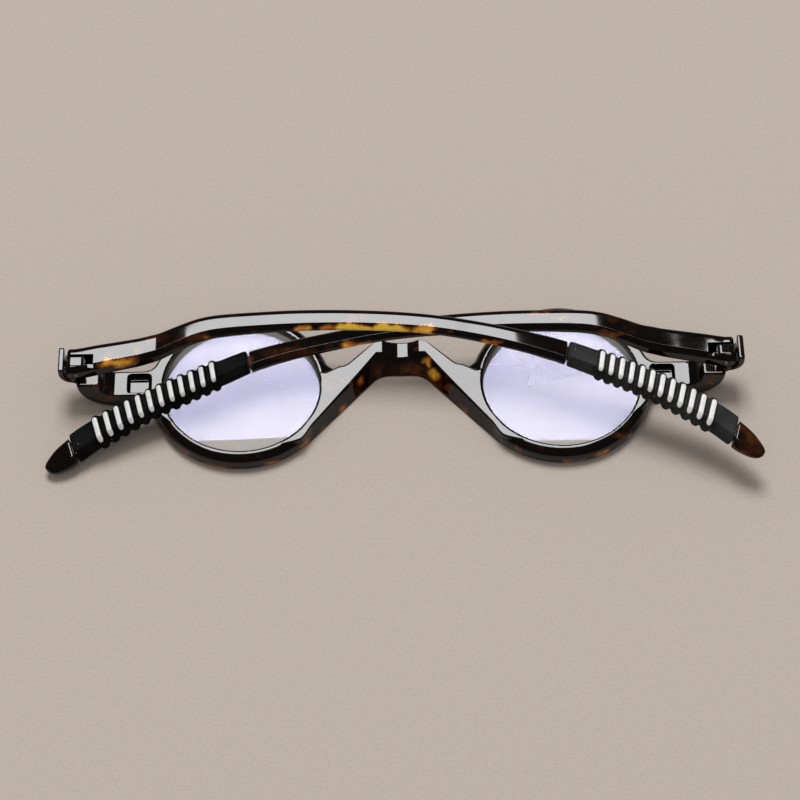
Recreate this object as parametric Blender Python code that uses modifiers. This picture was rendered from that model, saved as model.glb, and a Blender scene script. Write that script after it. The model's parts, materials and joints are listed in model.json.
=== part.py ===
"""Round reading glasses with slim sprung temples and ribbed soft grips.

The glasses lie folded on the front of the frame. +X is the wearer's right, +Y the top of the
frame and +Z the back of it, so the rims rest on z = 0 and both temples fold down over them.
The origin is the middle of the bridge's front face. Heights on the front and the temples are
measured from the line through the lens centres. Everything is in metres.
"""

import math

import bmesh
import bpy
from mathutils import Matrix, Vector

# Front: two round rims, a saddle bridge and a lug at each side
LENS_OPENING_RADIUS = 0.01595
RIM_WIDTH = 0.00245
RIM_GAP = 0.0282
FRONT_THICKNESS = 0.0036
FRONT_EDGE_RADIUS = 0.0006
RIM_BACK_RADIUS = 0.0019
RIM_FACE_RADIUS = 0.0008
RIM_CREST = 0.0009
RIM_CREST_START_SHARE = 0.45
RIM_SINK = 0.00002
RIM_STEPS = 22
FLAT_WIDTH_SHARE = 0.27
FLAT_FADE_ANGLE = math.radians(26)

# Bridge, seen from behind: flat top, sloping shoulders, a valley beside each rim
BRIDGE_TOP = 0.0107
BRIDGE_FLAT_HALF_WIDTH = 0.0043
BRIDGE_SHOULDER_RADIUS = 0.0022
BRIDGE_VALLEY = 0.0046
BRIDGE_VALLEY_RADIUS = 0.0028

# Nose arch: narrow at the front of the frame and splayed open towards the face
ARCH_FRONT_TOP = 0.0039
ARCH_FRONT_RADIUS = 0.0026
ARCH_FLANK_ANGLE = math.radians(48)
ARCH_REAR_TOP = 0.0077
ARCH_REAR_HALF_WIDTH = 0.0050
ARCH_REAR_MIDDLE_SHARES = (0.298, 0.049)
ARCH_REAR_END_SHARES = (0.572, -0.576)
SADDLE_WIDTH = 0.0074
SADDLE_DEPTH = 0.0008

# Lug: the level arm from the rim to the end piece
LUG_LENGTH = 0.0076
LUG_TOP = 0.0042
LUG_BOTTOM = -0.0020
LUG_FILLET_RADIUS = 0.0028
POCKET_LENGTH = 0.0047
POCKET_HEIGHT = 0.0046
POCKET_DEPTH = 0.0024
POCKET_OFFSET = 0.0024
POCKET_CORNER_RADIUS = 0.0009
POCKET_EDGE_RADIUS = 0.0003

# End piece: turns backwards in one sweep and carries the hinge
WRAP_OUTER_RADIUS = 0.0071
WRAP_INNER_RADIUS = 0.0033
POST_THICKNESS = 0.0045
POST_TOP = 0.0072
END_EDGE_RADIUS = 0.0004

# Hinge: a tongue on the front in the forked end of the temple, with a guard wall outside it
PIN_Y = 0.0017
POST_CLEARANCE = 0.0003
KNUCKLE_CLEARANCE = 0.00015
KNUCKLE_CORNER_RADIUS = 0.0008
GUARD_THICKNESS = 0.0013
GUARD_HEIGHT = 0.0059
GUARD_OFFSET = 0.00035
GUARD_CURVE_RADIUS = 0.0030
GUARD_CURVE_RISE = 0.0004
GUARD_EDGE_RADIUS = 0.0002
TONGUE_THICKNESS = 0.0025
TONGUE_HALF_LENGTH = 0.0017
TONGUE_TOP = 0.0015
TONGUE_CORNER_RADIUS = 0.0006
TONGUE_EDGE_RADIUS = 0.0001
TONGUE_CLEARANCE = 0.00025
SLOT_LENGTH = 0.0036
SCREW_RADIUS = 0.0005
SCREW_CLEARANCE = 0.00015
SCREW_HEAD_RADIUS = 0.0009
SCREW_HEAD_HEIGHT = 0.0005
SCREW_HEAD_GAP = 0.0003
SCREW_SLOT_WIDTH = 0.0003
SCREW_SLOT_DEPTH = 0.00025

# Lens: a thin meniscus whose edge sits in a groove
LENS_EDGE_CLEARANCE = 0.00015
OPENING_CHAMFER = 0.0003
LENS_BEVEL = 0.0006
LENS_SEAT_HEIGHT = 0.0021
LENS_EDGE_THICKNESS = 0.0011
LENS_FRONT_CURVE_RADIUS = 0.0900
LENS_REAR_CURVE_RADIUS = 0.1150
LENS_STEPS = 48
LENS_RINGS = 2

# Temple: sizes along its path, from the pin to the tip
TEMPLE_REACH = 0.1378
EAR_DROP = 0.0225
BOW_RISE = 0.0038
TEMPLE_HEIGHT = 0.0052
TEMPLE_THICKNESS = 0.0036
TEMPLE_TOP_EDGE_RADIUS = 0.0009
TEMPLE_INNER_EDGE_RADIUS = 0.0007
TEMPLE_CHAMFER = 0.0010
EDGE_HEIGHT_SHARE = 0.35
EDGE_THICKNESS_SHARE = 0.45
LOWER_FOLD_LEAN = math.radians(2.3)
LOWER_LIFT_START_SHARE = 0.545
LOWER_GRIP_LIFT = 0.00095
LOWER_EAR_LIFT = 0.0023

# Grip: a soft sleeve with raised ribs round the temple's ear bend
TIP_LENGTH = 0.0055
GRIP_LENGTH = 0.0344
GRIP_STRETCH_SHARE = 0.041
GRIP_WALL = 0.0005
GRIP_CLEARANCE = 0.0002
GRIP_EDGE_RADIUS = 0.0014
GRIP_PLAIN_START = 0.0068
GRIP_PLAIN_END = 0.0052
GRIP_RIBS = 12
GRIP_RIB_WIDTH = 0.00125
GRIP_RIB_RISE = 0.00035
GRIP_START_TILT = math.radians(7)
GRIP_END_TILT = math.radians(18)
GRIP_BACK_TILT_SHARE = 1.3
STRIPE_WIDTH = 0.00105
STRIPE_THICKNESS = 0.00025
STRIPE_GAP = 0.00005

# The temple's path: reach, rise of the path above the pin's line, bow, height and thickness,
# as shares of TEMPLE_REACH, EAR_DROP, BOW_RISE, TEMPLE_HEIGHT and TEMPLE_THICKNESS
TEMPLE_PATH_SHARES = (
    (-0.013, 0.013, 0.00, 1.11, 1.00),
    (0.000, 0.014, 0.00, 1.11, 1.00),
    (0.030, 0.053, 0.00, 1.10, 0.98),
    (0.060, 0.089, 0.02, 1.07, 0.94),
    (0.091, 0.126, 0.06, 1.05, 0.90),
    (0.105, 0.147, 0.11, 1.04, 0.88),
    (0.120, 0.170, 0.175, 1.02, 0.86),
    (0.149, 0.241, 0.315, 0.985, 0.80),
    (0.178, 0.305, 0.45, 0.955, 0.72),
    (0.207, 0.337, 0.54, 0.925, 0.66),
    (0.268, 0.349, 0.71, 0.895, 0.59),
    (0.327, 0.349, 0.84, 0.875, 0.56),
    (0.399, 0.329, 0.97, 0.845, 0.54),
    (0.472, 0.297, 1.00, 0.825, 0.53),
    (0.530, 0.255, 0.97, 0.81, 0.53),
    (0.588, 0.191, 0.87, 0.82, 0.54),
    (0.646, 0.101, 0.78, 0.86, 0.56),
    (0.704, -0.011, 0.67, 0.95, 0.58),
    (0.718, -0.044, 0.64, 0.97, 0.58),
    (0.766, -0.167, 0.53, 1.02, 0.57),
    (0.845, -0.382, 0.25, 1.03, 0.57),
    (0.925, -0.662, -0.15, 1.12, 0.58),
    (0.957, -0.815, -0.31, 1.13, 0.60),
    (0.964, -0.864, -0.34, 1.02, 0.60),
    (0.981, -0.951, -0.43, 0.92, 0.57),
    (0.992, -1.007, -0.49, 0.64, 0.47),
    (1.000, -1.037, -0.52, 0.25, 0.30),
)
TEMPLE_CORE_SHARE = 0.66
CORE_STEP = 0.0006
CORE_END_STEP = 0.00015
TIP_STEPS = 7
TEMPLE_STEPS = 40

# A stripe's round ends: how far along the edge facet above or below the rib's outer face, as a
# share of that facet, and the width there as a share of STRIPE_WIDTH
STRIPE_END_SHARES = ((0.85, 0.40), (0.60, 0.90))

# Colours seen in the photograph, as linear red, green and blue
TORTOISE = (0.060, 0.020, 0.007)
SOFT_BLACK = (0.012, 0.012, 0.013)
STRIPE_WHITE = (0.800, 0.800, 0.780)
SCREW_STEEL = (0.520, 0.520, 0.530)
LENS_CLEAR = (0.860, 0.860, 0.950)

# One overrun serves every cut, and one small overlap every join inside a piece
CUT_OVERRUN = 0.0020
JOIN_OVERLAP = 0.0030
MERGE = 0.00001


def clear_scene():
    """Start from nothing."""
    for obj in list(bpy.data.objects):
        bpy.data.objects.remove(obj)


def new_collection(name):
    """A collection linked to the scene."""
    collection = bpy.data.collections.new(name)
    bpy.context.scene.collection.children.link(collection)
    return collection


def material(name, colour, roughness, metallic=0.0, clear=0.0):
    """A Principled material; clear is how much light passes through."""
    mat = bpy.data.materials.new(name)
    mat.use_nodes = True
    shader = mat.node_tree.nodes["Principled BSDF"]
    shader.inputs["Base Color"].default_value = (*colour, 1.0)
    shader.inputs["Roughness"].default_value = roughness
    shader.inputs["Metallic"].default_value = metallic
    shader.inputs["Transmission Weight"].default_value = clear
    mat.diffuse_color = (*colour, 1.0)
    return mat


def mesh_object(name, bm, collection):
    """Turn a bmesh into a named object with its faces out."""
    bmesh.ops.recalc_face_normals(bm, faces=bm.faces[:])
    mesh = bpy.data.meshes.new(name)
    bm.to_mesh(mesh)
    bm.free()
    obj = bpy.data.objects.new(name, mesh)
    collection.objects.link(obj)
    return obj


def as_tool(obj):
    """Mark an object that only cuts or joins."""
    obj.hide_render = True
    obj.display_type = "WIRE"
    return obj


def boolean(obj, tool, operation):
    """Cut with or join a tool, which is drawn in the object's own frame and follows it."""
    tool.parent = obj
    modifier = obj.modifiers.new(operation.title() + " " + tool.name, "BOOLEAN")
    modifier.operation = operation
    modifier.object = tool
    modifier.solver = "EXACT"


def arc(centre, radius, start, end, steps):
    """Points on an arc, both ends included."""
    turns = [start + (end - start) * i / steps for i in range(steps + 1)]
    return [(centre[0] + radius * math.cos(a), centre[1] + radius * math.sin(a)) for a in turns]


def slab(name, outline, thickness, edge_radius, collection):
    """A flat outline with rounded edges, centred on its own z = 0, made a mesh with welded caps."""
    curve = bpy.data.curves.new(name, "CURVE")
    curve.dimensions = "2D"
    curve.fill_mode = "BOTH"
    curve.extrude = thickness / 2 - edge_radius
    curve.bevel_depth = edge_radius
    curve.bevel_resolution = 1
    curve.offset = -edge_radius
    spline = curve.splines.new("POLY")
    spline.points.add(len(outline) - 1)
    for point, (x, y) in zip(spline.points, outline):
        point.co = (x, y, 0, 1)
    spline.use_cyclic_u = True
    shape = bpy.data.objects.new(name + "_outline", curve)
    collection.objects.link(shape)
    bpy.context.view_layer.update()
    evaluated = shape.evaluated_get(bpy.context.evaluated_depsgraph_get())
    mesh = bpy.data.meshes.new_from_object(evaluated)
    bm = bmesh.new()
    bm.from_mesh(mesh)
    bmesh.ops.remove_doubles(bm, verts=bm.verts[:], dist=MERGE / 10)
    obj = mesh_object(name, bm, collection)
    bpy.data.objects.remove(shape)
    bpy.data.meshes.remove(mesh)
    return obj


def upright(obj, centre_y):
    """Stand a slab drawn in x and z on its edge, with its middle at centre_y."""
    obj.data.transform(Matrix.Translation((0, centre_y, 0)) @ Matrix.Rotation(math.radians(90), 4, "X"))
    return obj


def turned(name, profile, steps, collection):
    """A closed profile in x and z turned about z with a Screw modifier."""
    mesh = bpy.data.meshes.new(name)
    count = len(profile)
    edges = [(i, (i + 1) % count) for i in range(count)]
    if profile[0][0] == 0 and profile[-1][0] == 0:
        edges.pop()
    mesh.from_pydata([(x, 0, z) for x, z in profile], edges, [])
    obj = bpy.data.objects.new(name, mesh)
    collection.objects.link(obj)
    screw = obj.modifiers.new("Turn", "SCREW")
    screw.steps = steps
    screw.render_steps = steps
    screw.use_merge_vertices = True
    screw.merge_threshold = MERGE
    return obj


def cylinder(name, radius, length, collection, steps=24):
    """A cylinder along Y, centred on its origin."""
    bm = bmesh.new()
    turn = Matrix.Rotation(math.radians(90), 4, "X")
    bmesh.ops.create_cone(
        bm, cap_ends=True, segments=steps, radius1=radius, radius2=radius, depth=length, matrix=turn
    )
    return mesh_object(name, bm, collection)


def block(name, size, centre, collection):
    """A box of a given size about a centre."""
    bm = bmesh.new()
    matrix = Matrix.Translation(centre) @ Matrix.Diagonal((*size, 1))
    bmesh.ops.create_cube(bm, size=1, matrix=matrix)
    return mesh_object(name, bm, collection)


def loft(name, sections, collection):
    """Skin closed loops of equal length one after another, and close both ends."""
    bm = bmesh.new()
    loops = [[bm.verts.new(point) for point in section] for section in sections]
    for near, far in zip(loops, loops[1:]):
        for i in range(len(near)):
            j = (i + 1) % len(near)
            bm.faces.new((near[i], near[j], far[j], far[i]))
    bm.faces.new(loops[0])
    bm.faces.new(loops[-1])
    return mesh_object(name, bm, collection)


def smooth(obj, angle=35):
    """Shade round surfaces smooth and keep real edges sharp."""
    obj.data.shade_smooth()
    obj.data.set_sharp_from_angle(angle=math.radians(angle))


def rim_radius():
    """Outer radius of a rim."""
    return LENS_OPENING_RADIUS + RIM_WIDTH


def rim_x():
    """Distance of a lens centre from the middle of the bridge."""
    return RIM_GAP / 2 + rim_radius()


def wrap_start():
    """Where the level lug ends and the end piece begins to turn."""
    return rim_x() + rim_radius() + LUG_LENGTH


def pin_x():
    """The pin stands over the outer face of the end piece."""
    return wrap_start() + WRAP_OUTER_RADIUS


def pin_z():
    """The folded temple lies just above the end piece's post."""
    return POST_TOP + POST_CLEARANCE + TEMPLE_THICKNESS / 2


def nose_flank():
    """Where the straight flank of the nose arch touches the rim, and the arch's corner centre."""
    turn = math.pi * 1.5 - ARCH_FLANK_ANGLE
    touch = arc((rim_x(), 0), rim_radius(), turn, turn, 1)[0]
    flank_x = touch[0] - (ARCH_FRONT_TOP - touch[1]) / math.tan(ARCH_FLANK_ANGLE)
    corner_x = flank_x - ARCH_FRONT_RADIUS * math.tan(ARCH_FLANK_ANGLE / 2)
    return touch, turn, (corner_x, ARCH_FRONT_TOP - ARCH_FRONT_RADIUS)


def fading_arc(start, end):
    """Along the rim, drawn in from its edge to the narrow flat beside the lens and out again."""
    points = []
    flat_radius = LENS_OPENING_RADIUS + RIM_WIDTH * FLAT_WIDTH_SHARE
    for i in range(RIM_STEPS + 1):
        turn = start + (end - start) * i / RIM_STEPS
        share = min(abs(turn - start) / FLAT_FADE_ANGLE, abs(end - turn) / FLAT_FADE_ANGLE, 1)
        radius = rim_radius() + (flat_radius - rim_radius()) * share ** 2 * (3 - 2 * share)
        points.append((rim_x() + radius * math.cos(turn), radius * math.sin(turn)))
    return points


def front_outline():
    """The flat back seen from behind, both sides, without the splay of the nose arch."""
    rim = (rim_x(), 0)
    _, flank_turn, corner = nose_flank()
    right = [(0, ARCH_FRONT_TOP)]
    right += arc(corner, ARCH_FRONT_RADIUS, math.pi / 2, math.pi / 2 - ARCH_FLANK_ANGLE, 5)

    # Round the bottom of the rim to the fillet under the lug
    reach = rim_radius() + LUG_FILLET_RADIUS
    low_y = LUG_BOTTOM - LUG_FILLET_RADIUS
    low_x = rim[0] + math.sqrt(reach ** 2 - low_y ** 2)
    low_turn = math.atan2(low_y, low_x - rim[0])
    right += fading_arc(flank_turn, low_turn + 2 * math.pi)
    right += arc((low_x, low_y), LUG_FILLET_RADIUS, low_turn + math.pi, math.pi / 2, 5)

    # Along the lug, whose end is hidden inside the end piece, and back to the top of the rim
    right += [(wrap_start(), LUG_BOTTOM), (wrap_start(), LUG_TOP)]
    high_y = LUG_TOP + LUG_FILLET_RADIUS
    high_x = rim[0] + math.sqrt(reach ** 2 - high_y ** 2)
    high_turn = math.atan2(high_y, high_x - rim[0])
    right += arc((high_x, high_y), LUG_FILLET_RADIUS, -math.pi / 2, high_turn - math.pi, 5)

    # Over the rim to the valley beside the bridge
    reach = rim_radius() + BRIDGE_VALLEY_RADIUS
    valley_y = BRIDGE_VALLEY + BRIDGE_VALLEY_RADIUS
    valley_x = rim[0] - math.sqrt(reach ** 2 - valley_y ** 2)
    valley_turn = math.atan2(valley_y, valley_x - rim[0])
    right += fading_arc(high_turn, valley_turn)

    # Valley, then the straight slope that touches both it and the bridge's shoulder
    shoulder = (BRIDGE_FLAT_HALF_WIDTH, BRIDGE_TOP - BRIDGE_SHOULDER_RADIUS)
    run = Vector((valley_x - shoulder[0], valley_y - shoulder[1]))
    lean = math.atan2(run.y, run.x)
    lean += math.acos((BRIDGE_SHOULDER_RADIUS + BRIDGE_VALLEY_RADIUS) / run.length)
    right += arc((valley_x, valley_y), BRIDGE_VALLEY_RADIUS, valley_turn - math.pi, lean - math.pi, 7)
    right += arc(shoulder, BRIDGE_SHOULDER_RADIUS, lean, math.pi / 2, 5)
    right.append((0, BRIDGE_TOP))
    left = [(-x, y) for x, y in reversed(right[1:-1])]
    return right + left


def rim_ring(tools):
    """A full rim with a well rounded back, its top a little taller, just below the flat faces."""
    top = FRONT_THICKNESS - RIM_SINK
    back = (rim_radius() - RIM_BACK_RADIUS, top - RIM_BACK_RADIUS)
    face = (rim_radius() - RIM_FACE_RADIUS, RIM_SINK + RIM_FACE_RADIUS)
    inner = LENS_OPENING_RADIUS - JOIN_OVERLAP
    profile = [(inner, RIM_SINK), (inner, top)]
    profile += arc(back, RIM_BACK_RADIUS, math.pi / 2, 0, 4)
    profile += arc(face, RIM_FACE_RADIUS, 0, -math.pi / 2, 2)
    bm = bmesh.new()
    verts = [bm.verts.new((x, 0, z)) for x, z in profile]
    edges = [bm.edges.new((verts[i - 1], vert)) for i, vert in enumerate(verts)]
    turn = {"cent": (0, 0, 0), "axis": (0, 0, 1), "angle": math.tau, "steps": LENS_STEPS}
    bmesh.ops.spin(bm, geom=verts + edges, use_merge=True, **turn)
    bmesh.ops.remove_doubles(bm, verts=bm.verts[:], dist=MERGE)
    start = rim_radius() * RIM_CREST_START_SHARE
    for vert in bm.verts:
        share = max(0, (vert.co.y - start) / (rim_radius() - start))
        vert.co.y += RIM_CREST * share ** 2
    ring = mesh_object("rim_ring_join", bm, tools)
    ring.location.x = rim_x()
    return as_tool(ring)


def arch_cutter(tools):
    """The wedge that splays the nose arch: a loft from the front contour to the rear one."""
    steps = 8
    touch, _, corner = nose_flank()
    front = [(-CUT_OVERRUN, ARCH_FRONT_TOP)]
    front += arc(corner, ARCH_FRONT_RADIUS, math.pi / 2, math.pi / 2 - ARCH_FLANK_ANGLE, 3)
    start = Vector(front[-1])
    front += [tuple(start.lerp(Vector(touch), i / steps)) for i in range(1, steps + 1)]

    rear = [(-CUT_OVERRUN, ARCH_REAR_TOP)]
    begin = Vector((ARCH_REAR_HALF_WIDTH, ARCH_REAR_TOP))
    scale = Vector((rim_x(), rim_radius()))
    bend = Vector(ARCH_REAR_MIDDLE_SHARES) * scale
    finish = Vector(ARCH_REAR_END_SHARES) * scale
    rear += [(ARCH_REAR_HALF_WIDTH * share, ARCH_REAR_TOP) for share in (0.3, 0.6, 0.9)]
    for i in range(steps + 1):
        t = i / steps
        rear.append(tuple(begin.lerp(bend, t).lerp(bend.lerp(finish, t), t)))
    bottom = touch[1] - CUT_OVERRUN
    front += [(touch[0], bottom), (-CUT_OVERRUN, bottom)]
    rear += [(touch[0], bottom), (-CUT_OVERRUN, bottom)]

    def level(z):
        """The contour at height z, carried on in a straight line past both faces."""
        share = z / FRONT_THICKNESS
        return [Vector((*f, z)).lerp(Vector((*r, z)), share) for f, r in zip(front, rear)]

    return as_tool(loft("nose_arch_cut", [level(0), level(FRONT_THICKNESS * 2)], tools))


def end_piece(tools):
    """The sweep that turns the lug backwards, drawn in x and z and extruded along Y."""
    outer_x = wrap_start() + WRAP_OUTER_RADIUS
    inner_x = outer_x - POST_THICKNESS
    start_x = wrap_start() - JOIN_OVERLAP
    outline = [(start_x, 0)]
    outline += arc((wrap_start(), WRAP_OUTER_RADIUS), WRAP_OUTER_RADIUS, -math.pi / 2, 0, 12)
    outline += [(outer_x, POST_TOP), (inner_x, POST_TOP)]
    inner = (inner_x - WRAP_INNER_RADIUS, FRONT_THICKNESS + WRAP_INNER_RADIUS)
    outline += arc(inner, WRAP_INNER_RADIUS, 0, -math.pi / 2, 8)
    outline.append((start_x, FRONT_THICKNESS))
    width = LUG_TOP - LUG_BOTTOM
    piece = slab("end_piece_join", outline, width, END_EDGE_RADIUS, tools)
    return as_tool(upright(piece, (LUG_TOP + LUG_BOTTOM) / 2))


def hinge_guard(tools):
    """The cup and wall outside the temple's squared end, hollowed for the end's swing."""
    half = TEMPLE_THICKNESS / 2
    inset = half - KNUCKLE_CORNER_RADIUS
    hollow = inset * math.sqrt(2) + KNUCKLE_CORNER_RADIUS + KNUCKLE_CLEARANCE
    outer_x = pin_x() + hollow + GUARD_THICKNESS
    centre = (outer_x - GUARD_CURVE_RADIUS, pin_z() + GUARD_CURVE_RISE)
    floor = half + KNUCKLE_CLEARANCE
    root = POST_TOP - GUARD_THICKNESS
    outline = arc(centre, GUARD_CURVE_RADIUS, -math.pi / 2, 0, 8)
    outline += [(outer_x, pin_z() + half), (pin_x() + hollow, pin_z() + half)]
    outline += arc((pin_x(), pin_z()), hollow, 0, -math.asin(floor / hollow), 6)
    outline += [(pin_x(), pin_z() - floor), (pin_x() - GUARD_THICKNESS, root), (pin_x(), root)]
    guard = slab("hinge_guard_join", outline, GUARD_HEIGHT, GUARD_EDGE_RADIUS, tools)
    return as_tool(upright(guard, PIN_Y + GUARD_OFFSET))


def hinge_tongue(tools):
    """The flat-topped tongue that stands in the temple's fork."""
    root = POST_TOP - GUARD_THICKNESS
    half = TONGUE_HALF_LENGTH
    corner = (half - TONGUE_CORNER_RADIUS, TONGUE_TOP - TONGUE_CORNER_RADIUS)
    outline = [(half, root - pin_z())]
    outline += arc(corner, TONGUE_CORNER_RADIUS, 0, math.pi / 2, 3)
    outline += arc((-corner[0], corner[1]), TONGUE_CORNER_RADIUS, math.pi / 2, math.pi, 3)
    outline.append((-half, root - pin_z()))
    outline = [(pin_x() + x, pin_z() + z) for x, z in outline]
    tongue = slab("hinge_tongue_join", outline, TONGUE_THICKNESS, TONGUE_EDGE_RADIUS, tools)
    return as_tool(upright(tongue, PIN_Y))


def pocket_cutter(tools):
    """The square recess in the back of the lug."""
    half_x = POCKET_LENGTH / 2 - POCKET_CORNER_RADIUS
    half_y = POCKET_HEIGHT / 2 - POCKET_CORNER_RADIUS
    outline = []
    for turn, (sx, sy) in enumerate(((1, 1), (-1, 1), (-1, -1), (1, -1))):
        start = turn * math.pi / 2
        outline += arc((sx * half_x, sy * half_y), POCKET_CORNER_RADIUS, start, start + math.pi / 2, 4)
    cutter = slab("pocket_cut", outline, POCKET_DEPTH * 2, POCKET_EDGE_RADIUS, tools)
    centre_x = rim_x() + rim_radius() + POCKET_OFFSET
    centre_y = (LUG_TOP + LUG_BOTTOM) / 2
    cutter.data.transform(Matrix.Translation((centre_x, centre_y, FRONT_THICKNESS)))
    return as_tool(cutter)


def lens_groove_profile():
    """Opening and groove in one profile, from the top down."""
    radius = LENS_OPENING_RADIUS
    half = LENS_EDGE_THICKNESS / 2 + LENS_EDGE_CLEARANCE
    flare = radius + OPENING_CHAMFER + CUT_OVERRUN
    return [
        (0, FRONT_THICKNESS + CUT_OVERRUN),
        (flare, FRONT_THICKNESS + CUT_OVERRUN),
        (radius, FRONT_THICKNESS - OPENING_CHAMFER),
        (radius, LENS_SEAT_HEIGHT + half),
        (radius + LENS_BEVEL + LENS_EDGE_CLEARANCE, LENS_SEAT_HEIGHT),
        (radius, LENS_SEAT_HEIGHT - half),
        (radius, OPENING_CHAMFER),
        (flare, -CUT_OVERRUN),
        (0, -CUT_OVERRUN),
    ]


def lens_profile():
    """The lens from the middle of its back, round its bevelled edge, to the middle of its front."""
    radius = LENS_OPENING_RADIUS - LENS_EDGE_CLEARANCE
    half = LENS_EDGE_THICKNESS / 2

    def dish(r, curve_radius):
        return math.sqrt(curve_radius ** 2 - r ** 2) - math.sqrt(curve_radius ** 2 - radius ** 2)

    rings = [radius * i / LENS_RINGS for i in range(LENS_RINGS + 1)]
    back = [(r, LENS_SEAT_HEIGHT + half - dish(r, LENS_REAR_CURVE_RADIUS)) for r in rings]
    face = [(r, LENS_SEAT_HEIGHT - half - dish(r, LENS_FRONT_CURVE_RADIUS)) for r in rings]
    return back + [(radius + LENS_BEVEL, LENS_SEAT_HEIGHT)] + face[::-1]


def lens_line():
    """Height of the line through the lens centres, seen from the origin on the bridge."""
    return -(BRIDGE_TOP + ARCH_FRONT_TOP) / 2


def build_front(parts, tools):
    """Rims, bridge, lugs, end pieces and hinge tongues in one moulding."""
    front = slab("front", front_outline(), FRONT_THICKNESS, FRONT_EDGE_RADIUS, parts)
    front.data.transform(Matrix.Translation((0, 0, FRONT_THICKNESS / 2)))
    front.location.y = lens_line()
    for tool in (rim_ring(tools), end_piece(tools), hinge_guard(tools), hinge_tongue(tools)):
        boolean(front, tool, "UNION")
    opening = as_tool(turned("lens_opening_cut", lens_groove_profile(), LENS_STEPS, tools))
    opening.location.x = rim_x()
    boolean(front, opening, "DIFFERENCE")
    boolean(front, arch_cutter(tools), "DIFFERENCE")
    boolean(front, pocket_cutter(tools), "DIFFERENCE")
    saddle = cylinder("saddle_cut", saddle_radius(), BRIDGE_TOP, tools, 64)
    saddle.location = (0, BRIDGE_TOP, FRONT_THICKNESS - SADDLE_DEPTH + saddle_radius())
    boolean(front, as_tool(saddle), "DIFFERENCE")
    hole = cylinder("tongue_hole_cut", SCREW_RADIUS + SCREW_CLEARANCE, TEMPLE_HEIGHT, tools, 16)
    hole.location = (pin_x(), PIN_Y, pin_z())
    boolean(front, as_tool(hole), "DIFFERENCE")
    mirror = front.modifiers.new("Both sides", "MIRROR")
    mirror.use_bisect_axis[0] = True
    mirror.merge_threshold = MERGE
    mirror.bisect_threshold = MERGE / 10
    smooth(front)
    return front


def saddle_radius():
    """Radius of the shallow hollow across the back of the bridge."""
    return (SADDLE_WIDTH ** 2 / 4 + SADDLE_DEPTH ** 2) / (2 * SADDLE_DEPTH)


def build_lens(name, side, parts):
    """One lens, turned about its own centre."""
    lens = turned(name, lens_profile(), LENS_STEPS, parts)
    lens.location = (side * rim_x(), lens_line(), 0)
    smooth(lens)
    return lens


def build_screw(name, side, parts, tools):
    """A small slotted screw on the hinge line, head up."""
    half = TEMPLE_HEIGHT / 2
    top = half - SCREW_CLEARANCE
    under_head = top - SCREW_HEAD_HEIGHT
    profile = [
        (0, top),
        (SCREW_HEAD_RADIUS, top),
        (SCREW_HEAD_RADIUS, under_head),
        (SCREW_RADIUS, under_head),
        (SCREW_RADIUS, -half),
        (0, -half),
    ]
    screw = turned(name, profile, 16, parts)
    screw.rotation_euler.x = -math.radians(90)
    screw.location = (side * pin_x(), PIN_Y + lens_line(), pin_z())
    size = (SCREW_HEAD_RADIUS * 2 + CUT_OVERRUN, SCREW_SLOT_WIDTH, SCREW_SLOT_DEPTH * 2)
    slot = as_tool(block(name + "_slot_cut", size, (0, 0, top), tools))
    boolean(screw, slot, "DIFFERENCE")
    smooth(screw)
    return screw


def ear_start():
    """Where the ear bend and the grip begin."""
    return TEMPLE_REACH - TIP_LENGTH - GRIP_LENGTH


def temple_at(side, reach):
    """Path height, bow, section height and thickness at a distance from the pin, smoothly."""
    scales = (EAR_DROP, BOW_RISE, TEMPLE_HEIGHT, TEMPLE_THICKNESS)
    rows = TEMPLE_PATH_SHARES
    share = min(max(reach / TEMPLE_REACH, rows[0][0]), rows[-1][0])
    i = max(k for k in range(len(rows) - 1) if rows[k][0] <= share)
    before, start, end = rows[max(i - 1, 0)], rows[i], rows[i + 1]
    after = rows[min(i + 2, len(rows) - 1)]
    width = end[0] - start[0]
    t = (share - start[0]) / width
    values = []
    for k, scale in enumerate(scales, start=1):
        rise_in = (end[k] - before[k]) / (end[0] - before[0]) * width
        rise_out = (after[k] - start[k]) / (after[0] - start[0]) * width
        value = (2 * t ** 3 - 3 * t ** 2 + 1) * start[k] + (3 * t ** 2 - 2 * t ** 3) * end[k]
        value += (t ** 3 - 2 * t ** 2 + t) * rise_in + (t ** 3 - t ** 2) * rise_out
        values.append(value * scale)
    if side > 0:
        ear_share = max(reach - ear_start(), 0) / (TIP_LENGTH + GRIP_LENGTH)
        lift_start = TEMPLE_REACH * LOWER_LIFT_START_SHARE
        lift = eased((reach - lift_start) / (ear_start() - lift_start))
        values[0] += LOWER_GRIP_LIFT * lift + LOWER_EAR_LIFT * ear_share ** 3
    return values


def eased(share):
    """A smooth step from 0 to 1."""
    share = min(max(share, 0), 1)
    return share ** 2 * (3 - 2 * share)


def temple_tilt(reach):
    """How far sections lean from the glasses' own upright: little at the hinge, most at the tip."""
    ear_share = max(reach - ear_start(), 0) / (TIP_LENGTH + GRIP_LENGTH)
    return GRIP_START_TILT * eased(reach / ear_start()) + (GRIP_END_TILT - GRIP_START_TILT) * ear_share


def placed(side, reach, up, out):
    """A point of the section at a reach, leaning across and back, in the pin's own frame."""
    path, bow, _, _ = temple_at(side, reach)
    lean = temple_tilt(reach)
    behind = (TEMPLE_THICKNESS / 2 - out) * GRIP_BACK_TILT_SHARE
    along = reach + (up - behind) * math.sin(lean)
    return (-side * along, path + up * math.cos(lean), bow + out)


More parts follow.
